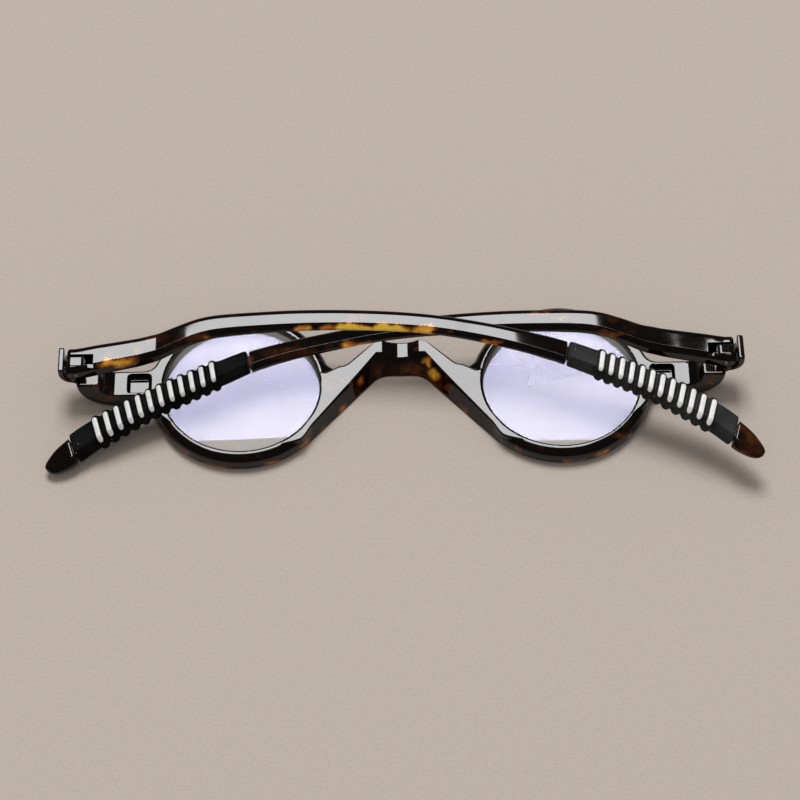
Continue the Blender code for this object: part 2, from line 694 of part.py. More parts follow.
def section(side, reach, height, thickness, chamfer, rounding, rise=0.0):
    """One closed section of the temple across its path, in the pin's own frame."""
    half_h = height / 2
    half_t = thickness / 2
    largest = min(height * EDGE_HEIGHT_SHARE, thickness * EDGE_THICKNESS_SHARE)
    chamfer = min(chamfer, largest)
    rounding = min(rounding, largest)
    top_edge = min(TEMPLE_TOP_EDGE_RADIUS, rounding)
    loop = [(-half_h + chamfer, half_t), (-half_h, half_t - chamfer)]
    loop += arc((-half_h + rounding, -half_t + rounding), rounding, math.pi, math.pi * 1.5, 2)
    loop += arc((half_h - rounding, -half_t + rounding), rounding, -math.pi / 2, 0, 2)
    loop += arc((half_h - top_edge, half_t - top_edge), top_edge, 0, math.pi / 2, 2)
    return [placed(side, reach, up, out + rise) for up, out in loop]


def grip_place(side, distance):
    """Reach of a place on the sleeve; the lower one is pulled longer and the upper one shorter."""
    return TEMPLE_REACH - TIP_LENGTH - (GRIP_LENGTH - distance) * (1 + side * GRIP_STRETCH_SHARE)


def temple_sections(side):
    """Sections from the squared end at the pin to the paddle tip, with a slim core in the grip."""
    sections = []
    half = TEMPLE_THICKNESS / 2
    inset = half - KNUCKLE_CORNER_RADIUS
    for turn in (88, 65, 45, 22):
        back = half * math.sin(math.radians(turn))
        low = -half * math.cos(math.radians(turn))
        high = half
        if back > inset:
            high = inset + math.sqrt(KNUCKLE_CORNER_RADIUS ** 2 - (back - inset) ** 2)
        _, _, height, _ = temple_at(side, -back)
        size = (height, high - low, TEMPLE_CHAMFER, TEMPLE_INNER_EDGE_RADIUS)
        sections.append(section(side, -back, *size, rise=(high + low) / 2))
    stations = [TEMPLE_REACH * i / TEMPLE_STEPS for i in range(TEMPLE_STEPS + 1)]
    start, end = grip_place(side, 0), grip_place(side, GRIP_LENGTH)
    core_from = start - CORE_STEP
    core_to = end + CORE_END_STEP
    stations = [s for s in stations if s < core_from - CORE_STEP]
    tip = TEMPLE_REACH - core_to
    stations += [TEMPLE_REACH - tip * (i / TIP_STEPS) ** 2 for i in range(TIP_STEPS)]
    grip_steps = 8
    core = [start + (end - start) * i / grip_steps for i in range(grip_steps + 1)]
    stations = sorted(stations + core + [core_from, core_to])
    for reach in stations:
        _, _, height, thickness = temple_at(side, reach)
        chamfer, rounding = TEMPLE_CHAMFER, TEMPLE_INNER_EDGE_RADIUS
        if reach in core:
            height *= TEMPLE_CORE_SHARE
            thickness *= TEMPLE_CORE_SHARE
            chamfer = rounding
        sections.append(section(side, reach, height, thickness, chamfer, rounding))
    return sections


def build_temple(name, side, parts, tools):
    """A temple with a forked end, origin on the pin."""
    temple = loft(name, temple_sections(side), parts)
    behind = TEMPLE_THICKNESS / 2 + CUT_OVERRUN
    size = (SLOT_LENGTH + behind, TONGUE_THICKNESS + TONGUE_CLEARANCE * 2, TEMPLE_THICKNESS * 2)
    slot = block(name + "_fork_cut", size, (side * (behind - SLOT_LENGTH) / 2, 0, 0), tools)
    hole = cylinder(name + "_hole_cut", SCREW_RADIUS + SCREW_CLEARANCE, TEMPLE_HEIGHT * 2, tools, 16)
    seat = cylinder(name + "_seat_cut", SCREW_HEAD_RADIUS + SCREW_CLEARANCE, TEMPLE_HEIGHT, tools, 20)
    seat_floor = TEMPLE_HEIGHT / 2 - SCREW_HEAD_HEIGHT - SCREW_HEAD_GAP
    seat.data.transform(Matrix.Translation((0, seat_floor + TEMPLE_HEIGHT / 2, 0)))
    for tool in (slot, hole, seat):
        boolean(temple, as_tool(tool), "DIFFERENCE")
    temple.location = (side * pin_x(), PIN_Y + lens_line(), pin_z())
    smooth(temple, 40)
    return temple


def rib_stations(side):
    """Middle of each rib along the temple."""
    step = (GRIP_LENGTH - GRIP_PLAIN_START - GRIP_PLAIN_END) / (GRIP_RIBS - 1)
    return [grip_place(side, GRIP_PLAIN_START + step * i) for i in range(GRIP_RIBS)]


def grip_size(side, reach):
    """Height and thickness of the sleeve between its ribs."""
    _, _, height, thickness = temple_at(side, reach)
    return height, thickness + GRIP_WALL * 2


def build_grip(name, side, temple, parts, tools):
    """The soft sleeve: ribs round the outside and a bore for the temple's core."""
    half = GRIP_RIB_WIDTH / 2
    start, end = grip_place(side, 0), grip_place(side, GRIP_LENGTH)
    stations = [(start + GRIP_CLEARANCE, 0), (end - GRIP_CLEARANCE, 0)]
    for middle in rib_stations(side):
        stations += [(middle - half, 0), (middle - half / 2, GRIP_RIB_RISE)]
        stations += [(middle + half / 2, GRIP_RIB_RISE), (middle + half, 0)]
    sections = []
    for reach, rise in sorted(stations):
        height, thickness = grip_size(side, reach)
        size = (height + rise * 2, thickness + rise * 2)
        sections.append(section(side, reach, *size, TEMPLE_CHAMFER, GRIP_EDGE_RADIUS))
    grip = loft(name, sections, parts)
    bore_sections = []
    steps = 8
    for i in range(-1, steps + 2):
        reach = start + (end - start) * i / steps
        _, _, height, thickness = temple_at(side, reach)
        height = height * TEMPLE_CORE_SHARE + GRIP_CLEARANCE * 2
        thickness = thickness * TEMPLE_CORE_SHARE + GRIP_CLEARANCE * 2
        rounding = TEMPLE_INNER_EDGE_RADIUS
        bore_sections.append(section(side, reach, height, thickness, rounding, rounding))
    bore = as_tool(loft(name + "_bore_cut", bore_sections, tools))
    grip.parent = temple
    boolean(grip, bore, "DIFFERENCE")
    smooth(grip)
    return grip


def stripe_track(side, reach, lift):
    """Down the outer side of a rib and over its two edge facets, lifted off it."""
    height, thickness = grip_size(side, reach)
    half_h = height / 2 + GRIP_RIB_RISE
    half_t = thickness / 2 + GRIP_RIB_RISE
    turn = math.pi / 8
    edge = TEMPLE_TOP_EDGE_RADIUS
    facet = edge * 2 * math.sin(turn)
    high, low = half_h - edge, -half_h + TEMPLE_CHAMFER
    points = []
    for share, _ in STRIPE_END_SHARES:
        along = facet * share
        up = high + along * math.cos(turn) + lift * math.sin(turn)
        points.append((up, half_t - along * math.sin(turn) + lift * math.cos(turn)))
    points.append((high + lift * math.tan(turn / 2), half_t + lift))
    points.append((low - lift * math.tan(turn), half_t + lift))
    slant = lift * math.sin(turn * 2)
    for share, _ in reversed(STRIPE_END_SHARES):
        along = TEMPLE_CHAMFER * share
        points.append((low - along - slant, half_t - along + slant))
    return points


def build_stripe(name, side, reach, temple, parts):
    """One white inlay that follows its rib over the outer face and both edges."""
    widths = [width for _, width in STRIPE_END_SHARES]
    widths += [1, 1] + widths[::-1]
    loops = [[] for _ in widths]
    near, far = STRIPE_GAP, STRIPE_GAP + STRIPE_THICKNESS
    for across, lift in ((-0.5, near), (0.5, near), (0.5, far), (-0.5, far)):
        for i, share in enumerate(widths):
            place = reach + across * STRIPE_WIDTH * share
            loops[i].append(placed(side, place, *stripe_track(side, place, lift)[i]))
    stripe = loft(name, loops, parts)
    path, bow, _, _ = temple_at(side, reach)
    turn = Matrix.Rotation(side * temple_tilt(reach), 4, "Z")
    middle = Matrix.Translation((-side * reach, path, bow)) @ turn
    stripe.data.transform(middle.inverted())
    stripe.matrix_basis = middle
    stripe.parent = temple
    smooth(stripe)
    return stripe


def main():
    """Build every piece in its folded place."""
    clear_scene()
    parts = new_collection("reading_glasses")
    tools = new_collection("cutters")
    tortoise = material("Tortoise plastic", TORTOISE, 0.08)
    rubber = material("Soft black grip", SOFT_BLACK, 0.55)
    white = material("White stripe", STRIPE_WHITE, 0.45)
    steel = material("Screw steel", SCREW_STEEL, 0.30, metallic=1.0)
    clear = material("Coated lens", LENS_CLEAR, 0.02, clear=1.0)

    build_front(parts, tools).data.materials.append(tortoise)
    for word, side in (("left", -1), ("right", 1)):
        build_lens("lens_" + word, side, parts).data.materials.append(clear)
        build_screw("hinge_screw_" + word, side, parts, tools).data.materials.append(steel)
        temple = build_temple("temple_" + word, side, parts, tools)
        temple.data.materials.append(tortoise)
        grip = build_grip("grip_sleeve_" + word, side, temple, parts, tools)
        grip.data.materials.append(rubber)
        for count, reach in enumerate(rib_stations(side), start=1):
            stripe = build_stripe(f"grip_stripe_{word}_{count:02d}", side, reach, temple, parts)
            stripe.data.materials.append(white)
        if side > 0:
            temple.rotation_euler.y = -LOWER_FOLD_LEAN


main()
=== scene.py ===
import json
import math

import bmesh
import bpy
from mathutils import Matrix, Vector

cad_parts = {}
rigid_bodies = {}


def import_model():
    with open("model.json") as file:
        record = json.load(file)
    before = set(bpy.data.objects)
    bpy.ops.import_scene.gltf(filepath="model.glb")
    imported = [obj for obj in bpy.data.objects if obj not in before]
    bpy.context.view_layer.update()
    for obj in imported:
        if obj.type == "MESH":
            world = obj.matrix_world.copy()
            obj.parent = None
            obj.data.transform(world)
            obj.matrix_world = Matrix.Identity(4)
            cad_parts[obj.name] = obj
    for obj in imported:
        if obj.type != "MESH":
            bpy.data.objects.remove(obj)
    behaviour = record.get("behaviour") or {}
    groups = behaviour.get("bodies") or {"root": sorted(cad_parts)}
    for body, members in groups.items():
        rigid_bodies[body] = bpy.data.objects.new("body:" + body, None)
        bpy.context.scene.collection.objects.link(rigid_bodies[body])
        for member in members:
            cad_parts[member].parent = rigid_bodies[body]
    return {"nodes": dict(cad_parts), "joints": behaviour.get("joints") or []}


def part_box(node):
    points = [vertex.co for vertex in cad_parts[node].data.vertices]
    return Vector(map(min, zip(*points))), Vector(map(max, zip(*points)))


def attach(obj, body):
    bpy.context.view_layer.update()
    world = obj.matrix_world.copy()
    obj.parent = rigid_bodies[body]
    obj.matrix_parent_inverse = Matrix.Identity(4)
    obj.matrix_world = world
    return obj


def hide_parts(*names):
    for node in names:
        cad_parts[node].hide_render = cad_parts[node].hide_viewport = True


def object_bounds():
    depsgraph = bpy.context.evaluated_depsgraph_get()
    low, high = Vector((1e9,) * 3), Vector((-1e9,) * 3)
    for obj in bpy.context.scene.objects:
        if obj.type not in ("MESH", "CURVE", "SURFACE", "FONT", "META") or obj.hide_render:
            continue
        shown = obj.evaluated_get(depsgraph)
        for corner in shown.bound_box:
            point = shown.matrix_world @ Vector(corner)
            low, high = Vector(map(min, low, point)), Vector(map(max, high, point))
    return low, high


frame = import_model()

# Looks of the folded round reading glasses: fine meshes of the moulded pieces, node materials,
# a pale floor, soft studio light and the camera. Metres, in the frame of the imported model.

cad_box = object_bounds()

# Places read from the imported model
LENS_LOW, LENS_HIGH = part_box("lens_right")
RIM_X = (LENS_LOW.x + LENS_HIGH.x) / 2
LENS_Y = (LENS_LOW.y + LENS_HIGH.y) / 2
PINS = {joint["child"]: Vector(joint["pos_m"]) for joint in frame["joints"]}
PIN = PINS["temple_right"]

# Front, with heights from the line through the lens centres
RIM_RADIUS = 0.0184
OPENING_RADIUS = 0.01595
OPENING_CHAMFER = 0.0003
OPENING_ROUND = (0.0004, 0.0003)
FLAT_RADIUS = 0.0164
FLAT_FADE = math.radians(26)
RIM_BACK_ROUND = 0.0020
RIM_FACE_ROUND = 0.0009
RIM_CREST = 0.0009
RIM_CREST_START = 0.0083
RIM_SINK = 0.00002
FRONT_THICKNESS = 0.0036
FRONT_EDGE = 0.0003
BODY_THICKNESS = 0.0030
BODY_EDGE = 0.0012
WEDGE_TURN = math.radians(168.5)
WEDGE_END = (0.01535, 0.0031)
BRIDGE_TOP = 0.0107
BRIDGE_HALF = 0.0039
SHOULDER_RADIUS = 0.0034
VALLEY = 0.0046
VALLEY_RADIUS = 0.0028
ARCH_TOP = 0.0039
ARCH_RADIUS = 0.0045
ARCH_ANGLE = math.radians(48)
ARCH_BACK_TOP = 0.0077
ARCH_BACK_HALF = 0.0050
ARCH_BACK_MIDDLE = (0.0097, 0.0009)
ARCH_BACK_END = (0.0186, -0.0106)
ARCH_FADE = (0.0180, 0.0205)
# Height above the arch that its splay gathers, more on the flank and less at the rim
BAND = 0.0067
BAND_GAIN = 0.0011
BAND_GAIN_X = (0.002, 0.005)
BAND_LOSS = 0.0039
BAND_LOSS_X = (0.012, 0.0185)
SADDLE_WIDTH = 0.0074
SADDLE_DEPTH = 0.0008
SADDLE_LENGTH = BRIDGE_TOP * 1.6
LUG_TOP = 0.0042
LUG_BOTTOM = -0.0020
LUG_FILLET = 0.0028
POCKET_SIZE = (0.0047, 0.0046, 0.0016)
POCKET_X = 0.0533
POCKET_CORNER = 0.0009
WRAP_X = 0.0585
WRAP_OUTER = 0.0071
WRAP_INNER = 0.0033
POST_THICKNESS = 0.0045
POST_TOP = 0.0072
END_EDGE = 0.0005

# Hinge
PIN_Y = PIN.y - LENS_Y
KNUCKLE_CORNER = 0.0008
KNUCKLE_TURNS = range(88, 0, -8)  # degrees
GUARD_THICKNESS = 0.0013
GUARD_HEIGHT = 0.0059
GUARD_OFFSET = 0.00035
GUARD_RADIUS = 0.0030
GUARD_RISE = 0.0004
GUARD_EDGE = 0.00012
LEFT_GUARD_SHARE = 0.90
TONGUE_THICKNESS = 0.0025
TONGUE_HALF = 0.0017
TONGUE_TOP = 0.0015
TONGUE_CORNER = 0.0006
TONGUE_CLEARANCE = 0.00025
SLOT_LENGTH = 0.0036
SCREW_HOLE = 0.00065
SCREW_SEAT = 0.00105
SCREW_SEAT_DEPTH = 0.0008
KNUCKLE_CLEARANCE = 0.00015

# Lens
LENS_RADIUS = 0.0158
LENS_BEVEL = 0.0006
LENS_SEAT = 0.0021
LENS_EDGE = 0.0011
LENS_CURVE = 0.2700
LENS_CROSS_CURVE = 0.6000

# Temple, along its path from the pin; the right one lies lower when folded
REACH = 0.1378
EAR_DROP = 0.0225
BOW_RISE = 0.0038
TEMPLE_HEIGHT = 0.0052
TEMPLE_THICKNESS = 0.0036
TOP_EDGE = 0.0009
TEMPLE_TOP_EDGE = (0.0013, 0.0006)
INNER_EDGE = 0.0007
CHAMFER = 0.0010
CHAMFER_TURN = math.radians(45)
EDGE_HEIGHT_SHARE = 0.35
EDGE_THICKNESS_SHARE = 0.45
FOLD_LEAN = math.radians(2.3)
LOWER_LIFT_START = 0.0751
LOWER_GRIP_LIFT = 0.00095
LOWER_EAR_LIFT = 0.0023
LOWER_FACE_RISE = 0.0006
LOWER_RISE_RUN = 0.014
LOWER_RISE_FADE = (0.016, 0.066)
LOWER_TWIST = math.radians(8)
LOWER_TWIST_SHARES = (0.41, 0.46, 0.70, 0.76)
ARM_SOFT = 0.00012
SOFT_CHAMFER_SHARE = 0.6

# Tip
TIP_LENGTH = 0.0055
TIP_DOME = 0.00015
TIP_DOME_SHARES = (0.3, 0.55, 0.75, 0.9, 0.98)
TIP_BLUNT_SHARE = 0.960
TIP_SOFT = 0.0006
TIP_CROWDING = 1.5
TIP_FLATNESS = 0.7

# Grip
GRIP_LENGTH = 0.0344
GRIP_STRETCH_SHARE = 0.041
GRIP_WALL = 0.0005
GRIP_CLEARANCE = 0.0002
GRIP_EDGE = 0.0014
GRIP_ROLL = 0.00035
GRIP_SOFT = 0.0003
GRIP_PLAIN_START = 0.0068
GRIP_PLAIN_END = 0.0052
GRIP_RIBS = 12
RIB_WIDTH = 0.00125
RIB_RISE = 0.00038
RIB_FOOT_SHARE = 0.62
RIB_FLANK = 0.6
RIB_CROWN = 1.35
GRIP_START_TILT = math.radians(7)
GRIP_END_TILT = math.radians(18)
BACK_TILT_SHARE = 1.3
CORE_SHARE = 0.66
CORE_STEP = 0.0003
STRIPE_WIDTH = 0.00090
STRIPE_FOOT_SHARES = (0.30, 0.80)
STRIPE_THICKNESS = 0.00025
STRIPE_GAP = 0.00004
STRIPE_DROP = 0.0002
STRIPE_DOWN = (0, 0.02, 0.05, 0.09, 0.15, 0.3, 0.5, 0.75)
STRIPE_BEND = (0, 15, 30, 45)  # degrees
STRIPE_FOOT = (0.3, 0.6, 0.8, 1)
STRIPE_END = 0.0001
STRIPE_TOP_ROUND = 0.0005
STRIPE_FOOT_ROUND = 0.0008
STRIPE_SIDE_SHARE = 0.55
STRIPE_CROWN_HALF = 0.36

# Shares of the reach, ear drop, bow, height and thickness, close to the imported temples
PATH_SHARES = (
    (-0.013, 0.013, 0.00, 1.11, 1.00),
    (0.000, 0.014, 0.00, 1.11, 1.00),
    (0.030, 0.053, 0.00, 1.10, 0.98),
    (0.060, 0.089, 0.02, 1.07, 0.94),
    (0.091, 0.126, 0.045, 1.05, 0.90),
    (0.105, 0.147, 0.08, 1.04, 0.88),
    (0.120, 0.170, 0.135, 1.02, 0.86),
    (0.149, 0.241, 0.295, 0.985, 0.80),
    (0.178, 0.305, 0.44, 0.955, 0.72),
    (0.207, 0.337, 0.54, 0.925, 0.66),
    (0.268, 0.349, 0.71, 0.895, 0.59),
    (0.327, 0.349, 0.84, 0.875, 0.56),
    (0.399, 0.329, 0.97, 0.845, 0.54),
    (0.472, 0.297, 1.00, 0.825, 0.53),
    (0.530, 0.255, 0.97, 0.81, 0.53),
    (0.588, 0.191, 0.87, 0.82, 0.54),
    (0.646, 0.101, 0.78, 0.86, 0.56),
    (0.704, -0.011, 0.67, 0.95, 0.58),
    (0.718, -0.044, 0.64, 0.97, 0.58),
    (0.766, -0.167, 0.53, 1.02, 0.57),
    (0.845, -0.382, 0.25, 1.03, 0.57),
    (0.925, -0.662, -0.15, 1.12, 0.58),
    (0.957, -0.815, -0.31, 1.13, 0.60),
    (0.964, -0.864, -0.34, 1.02, 0.60),
    (0.981, -0.951, -0.43, 0.92, 0.57),
    (0.992, -1.007, -0.49, 0.64, 0.47),
    (1.000, -1.037, -0.52, 0.25, 0.30),
)

# Overruns of cuts and joins, and the fineness of the meshes
CUT = 0.0020
JOIN = 0.0030
MERGE = 0.00001
VOXEL = 0.00015
SMOOTHING = 9
RIM_STEPS = 160
LENS_STEPS = 128
LENS_RINGS = 14
ARC_STEPS = 90
WALL_STEPS = 60
SWEEP_STEPS = 36
BEND_STEPS = 20
FILLET_STEPS = 16
ROUND_STEPS = 12
CORNER_STEPS = 8
EDGE_STEPS = 4
ARM_STEPS = 200
NECK_STEPS = 8
CORE_STEPS = 12
TIP_STEPS = 40
GRIP_STEPS = 300
LENS_SHARP, TEMPLE_SHARP, GRIP_SHARP, STRIPE_SHARP = (math.radians(a) for a in (20, 40, 50, 60))

# Colours, linear red, green and blue; a grip has its colour, worn colour and refractive index,
# which differ by side only as painted light
FLOOR_COLOUR = (0.580, 0.508, 0.452)
NIGHT = (0.0035, 0.0014, 0.0008)
BROWN = (0.0300, 0.0080, 0.0020)
RUST = (0.1400, 0.0400, 0.0055)
AMBER = (0.5200, 0.1900, 0.0160)
HONEY = (1.0000, 0.6600, 0.0900)
# The left grip is painted lighter and more reflective, a painted sheen, and the right one darker,
# painted shade: two copies of one silicone
LEFT_GRIP_PAINTED_SHEEN = ((0.0120, 0.0125, 0.0125), (0.0300, 0.0310, 0.0310), 1.24)
RIGHT_GRIP_PAINTED_SHADE = ((0.0030, 0.0030, 0.0030), (0.0080, 0.0080, 0.0080), 1.10)
# The left stripes' white is painted lighter and the right's darker: painted light and painted
# shade on one white paint
LEFT_WHITE_PAINTED_LIGHT = (0.940, 0.940, 0.935)
RIGHT_WHITE_PAINTED_SHADE = (0.780, 0.785, 0.780)
STEEL = (0.160, 0.160, 0.165)
COATING = (0.570, 0.570, 0.860)
HAZE = (0.93, 0.93, 0.90)
DUST = (0.5, 0.5, 0.5)
ROOM_COLOUR = (1.0, 0.97, 0.94)
FRONT_CLOUDS = 0.50
TEMPLE_CLOUDS = 0.34

# A lens film's share seen straight on and at a slant, and what is left of it at the top, where its
# thinning is a painted change that leaves the reflection bluer and darker
HAZE_FILM = (0.28, 0.50, 0.80)
COATING_FILM = (0.114, 0.60, 0.97)
PAINTED_FILM_FADE_Y = (-0.012, 0.006)

# Grain, in waves per metre, and how far the tortoiseshell's patches drift
DRIFT_GRAIN = 260.0
DRIFT = 0.0022
CLOUD_GRAIN = 230.0
VEIN_GRAIN = 420.0
SMUDGE_GRAIN = 90.0
WAVE_GRAIN = 120.0
RUBBER_GRAIN = 3200.0
DUST_GRAIN = 1500.0
WEAR_GRAIN = 220.0
PAINT_GRAIN = 900.0
SMEAR_GRAIN = 70.0
STEEL_GRAIN = 2500.0
PAPER_GRAIN = 1700.0

# Camera, from the photograph's angle
CAMERA_TARGET = Vector((0, LENS_Y, 0))
CAMERA_AZIMUTH = math.radians(0.438)
CAMERA_ELEVATION = math.radians(54.50)
CAMERA_ROLL = math.radians(-0.733)
CAMERA_DISTANCE = 0.6128
CAMERA_SENSOR = 36
CAMERA_LENS = 135.05
CAMERA_CLIP = 0.01
CAMERA_SHIFT = (-0.00176, -0.0089)

# Light and floor
BOX_AZIMUTH = math.radians(-6.2)
BOX_ELEVATION = math.radians(63.2)
BOX_DISTANCE = 4.0
BOX_SIZE = (1.46, 1.82)
BOX_RADIANCE = 12.0
ROOM_STRENGTH = 0.36
ROOM_GLOSS = 0.07
FLOOR_HALF = 2.5


def arc(centre, radius, start, end, steps):
    """Points on an arc, both ends included."""
    turns = [start + (end - start) * i / steps for i in range(steps + 1)]
    return [(centre[0] + radius * math.cos(a), centre[1] + radius * math.sin(a)) for a in turns]


def placed(name, data):
    """A new object in the scene."""
    obj = bpy.data.objects.new(name, data)
    bpy.context.scene.collection.objects.link(obj)
    return obj


def mesh_object(name, bm):
    """Turn a bmesh into a named object with its faces out."""
    bmesh.ops.recalc_face_normals(bm, faces=bm.faces[:])
    mesh = bpy.data.meshes.new(name)
    bm.to_mesh(mesh)
    bm.free()
    return placed(name, mesh)


def evaluated_mesh(obj):
    """A new mesh of what an object's modifiers or its curve make."""
    bpy.context.view_layer.update()
    depsgraph = bpy.context.evaluated_depsgraph_get()
    return bpy.data.meshes.new_from_object(obj.evaluated_get(depsgraph))


def slab(name, outline, thickness, edge, inset=0.0):
    """A flat outline with rounded edges, drawn in by an inset, centred on z = 0."""
    curve = bpy.data.curves.new(name, "CURVE")
    curve.dimensions = "2D"
    curve.fill_mode = "BOTH"
    curve.extrude = thickness / 2 - edge
    curve.bevel_depth = edge
    curve.bevel_resolution = EDGE_STEPS
    curve.offset = -edge - inset
    spline = curve.splines.new("POLY")
    spline.points.add(len(outline) - 1)
    for point, (x, y) in zip(spline.points, outline):
        point.co = (x, y, 0, 1)
    spline.use_cyclic_u = True
    shape = placed(name + "_outline", curve)
    mesh = evaluated_mesh(shape)
    bm = bmesh.new()
    bm.from_mesh(mesh)
    bmesh.ops.remove_doubles(bm, verts=bm.verts[:], dist=MERGE / 10)
    bpy.data.objects.remove(shape)
    bpy.data.meshes.remove(mesh)
    return mesh_object(name, bm)


def turned(name, profile, steps):
    """A closed profile in x and z turned about z."""
    bm = bmesh.new()
    verts = [bm.verts.new((x, 0, z)) for x, z in profile]
    edges = [bm.edges.new((a, b)) for a, b in zip(verts, verts[1:])]
    if profile[0][0] > 0 or profile[-1][0] > 0:
        edges.append(bm.edges.new((verts[-1], verts[0])))
    bmesh.ops.spin(
        bm, geom=verts + edges, cent=(0, 0, 0), axis=(0, 0, 1),
        angle=math.tau, steps=steps, use_merge=True,
    )
    bmesh.ops.remove_doubles(bm, verts=bm.verts[:], dist=MERGE)
    return mesh_object(name, bm)


def cylinder(name, radius, length, steps=32):
    """A cylinder along Y, centred on its origin."""
    bm = bmesh.new()
    turn = Matrix.Rotation(math.radians(90), 4, "X")
    bmesh.ops.create_cone(
        bm, cap_ends=True, segments=steps, depth=length,
        radius1=radius, radius2=radius, matrix=turn,
    )
    return mesh_object(name, bm)


def block(name, size, centre):
    """A box of a given size about a centre."""
    bm = bmesh.new()
    place = Matrix.Translation(centre) @ Matrix.Diagonal((*size, 1))
    bmesh.ops.create_cube(bm, size=1, matrix=place)
    return mesh_object(name, bm)


def loft(name, sections):
    """Skin closed loops of equal length one after another, and close both ends."""
    bm = bmesh.new()
    loops = [[bm.verts.new(point) for point in section] for section in sections]
    for near, far in zip(loops, loops[1:]):
        for i in range(len(near)):
            j = (i + 1) % len(near)
            bm.faces.new((near[i], near[j], far[j], far[i]))
    bm.faces.new(loops[0])
    bm.faces.new(loops[-1])
    return mesh_object(name, bm)


def move(obj, x=0.0, y=0.0, z=0.0):
    """Shift a mesh inside its object."""
    obj.data.transform(Matrix.Translation((x, y, z)))
    return obj


def upright(obj, centre_y):
    """Stand a slab drawn in x and z on its edge."""
    turn = Matrix.Rotation(math.radians(90), 4, "X")
    obj.data.transform(Matrix.Translation((0, centre_y, 0)) @ turn)
    return obj


def boolean(obj, tool, operation):
    """Cut or join with a tool, which settle then applies and deletes."""
    modifier = obj.modifiers.new(tool.name, "BOOLEAN")
    modifier.operation = operation
    modifier.object = tool
    modifier.solver = "EXACT"


def settle(obj):
    """Replace an object's mesh by what its modifiers make, and delete their tools."""
    tools = [m.object for m in obj.modifiers if m.type == "BOOLEAN"]
    mesh = evaluated_mesh(obj)
    mesh.name = obj.name
    old = obj.data
    obj.modifiers.clear()
    obj.data = mesh
    bpy.data.meshes.remove(old)
    for tool in tools:
        bpy.data.objects.remove(tool)


def smooth(obj, angle):
    """Shade round surfaces smooth, keep real edges sharp and flat faces flat."""
    obj.data.shade_smooth()
    obj.data.set_sharp_from_angle(angle=angle)
    weighted = obj.modifiers.new("Even shading", "WEIGHTED_NORMAL")
    weighted.keep_sharp = True


def dress(obj, material):
    """Give a piece its one material."""
    obj.data.materials.clear()
    obj.data.materials.append(material)


def eased(share):
    """A smooth step from 0 to 1."""
    share = min(max(share, 0), 1)
    return share ** 2 * (3 - 2 * share)


def ramped(value, start, end):
    """A smooth step from 0 at the start to 1 at the end."""
    return eased((value - start) / (end - start))


def arch_corner():
    """Where the straight flank of the nose arch touches the rim, and its corner's centre."""
    turn = math.pi * 1.5 - ARCH_ANGLE
    touch = arc((RIM_X, 0), RIM_RADIUS, turn, turn, 1)[0]
    flank_x = touch[0] - (ARCH_TOP - touch[1]) / math.tan(ARCH_ANGLE)
    corner_x = flank_x - ARCH_RADIUS * math.tan(ARCH_ANGLE / 2)
    return touch, turn, (corner_x, ARCH_TOP - ARCH_RADIUS)


def fading_arc(start, end, flat, fade_out=True):
    """Along the rim: at its edge, or drawn in to the narrow flat beside the lens and out again."""
    points = []
    for i in range(ARC_STEPS + 1):
        turn = start + (end - start) * i / ARC_STEPS
        near = abs(turn - start)
        if fade_out:
            near = min(near, abs(end - turn))
        share = eased(near / FLAT_FADE) if flat else 0
        radius = RIM_RADIUS + (FLAT_RADIUS - RIM_RADIUS) * share
        points.append((RIM_X + radius * math.cos(turn), radius * math.sin(turn)))
    return points


def web_outline(flat):
    """The whole front, or only the bridge and lugs with their raised flat back."""
    _, flank_turn, corner = arch_corner()
    right = [(0, ARCH_TOP)]
    right += arc(corner, ARCH_RADIUS, math.pi / 2, math.pi / 2 - ARCH_ANGLE, FILLET_STEPS)
    reach = RIM_RADIUS + LUG_FILLET
    low_y = LUG_BOTTOM - LUG_FILLET
    low_x = RIM_X + math.sqrt(reach ** 2 - low_y ** 2)
    low_turn = math.atan2(low_y, low_x - RIM_X)
    right += fading_arc(flank_turn, low_turn + math.tau, flat)
    right += arc((low_x, low_y), LUG_FILLET, low_turn + math.pi, math.pi / 2, FILLET_STEPS)
    right += [(WRAP_X, LUG_BOTTOM), (WRAP_X, LUG_TOP)]
    high_y = LUG_TOP + LUG_FILLET
    high_x = RIM_X + math.sqrt(reach ** 2 - high_y ** 2)
    high_turn = math.atan2(high_y, high_x - RIM_X)
    right += arc((high_x, high_y), LUG_FILLET, -math.pi / 2, high_turn - math.pi, FILLET_STEPS)
    reach = RIM_RADIUS + VALLEY_RADIUS
    valley_y = VALLEY + VALLEY_RADIUS
    valley_x = RIM_X - math.sqrt(reach ** 2 - valley_y ** 2)
    valley_turn = math.atan2(valley_y, valley_x - RIM_X)
    if flat:
        right += fading_arc(high_turn, WEDGE_TURN, True, fade_out=False)
        right.append(WEDGE_END)
        arc_start = -math.pi / 2
    else:
        right += fading_arc(high_turn, valley_turn, False)
        arc_start = valley_turn - math.pi
    shoulder = (BRIDGE_HALF, BRIDGE_TOP - SHOULDER_RADIUS)
    run = Vector((valley_x - shoulder[0], valley_y - shoulder[1]))
    lean = math.atan2(run.y, run.x) + math.acos((SHOULDER_RADIUS + VALLEY_RADIUS) / run.length)
    right += arc((valley_x, valley_y), VALLEY_RADIUS, arc_start, lean - math.pi, BEND_STEPS)
    right += arc(shoulder, SHOULDER_RADIUS, lean, math.pi / 2, FILLET_STEPS)
    right.append((0, BRIDGE_TOP))
    return right + [(-x, y) for x, y in reversed(right[1:-1])]


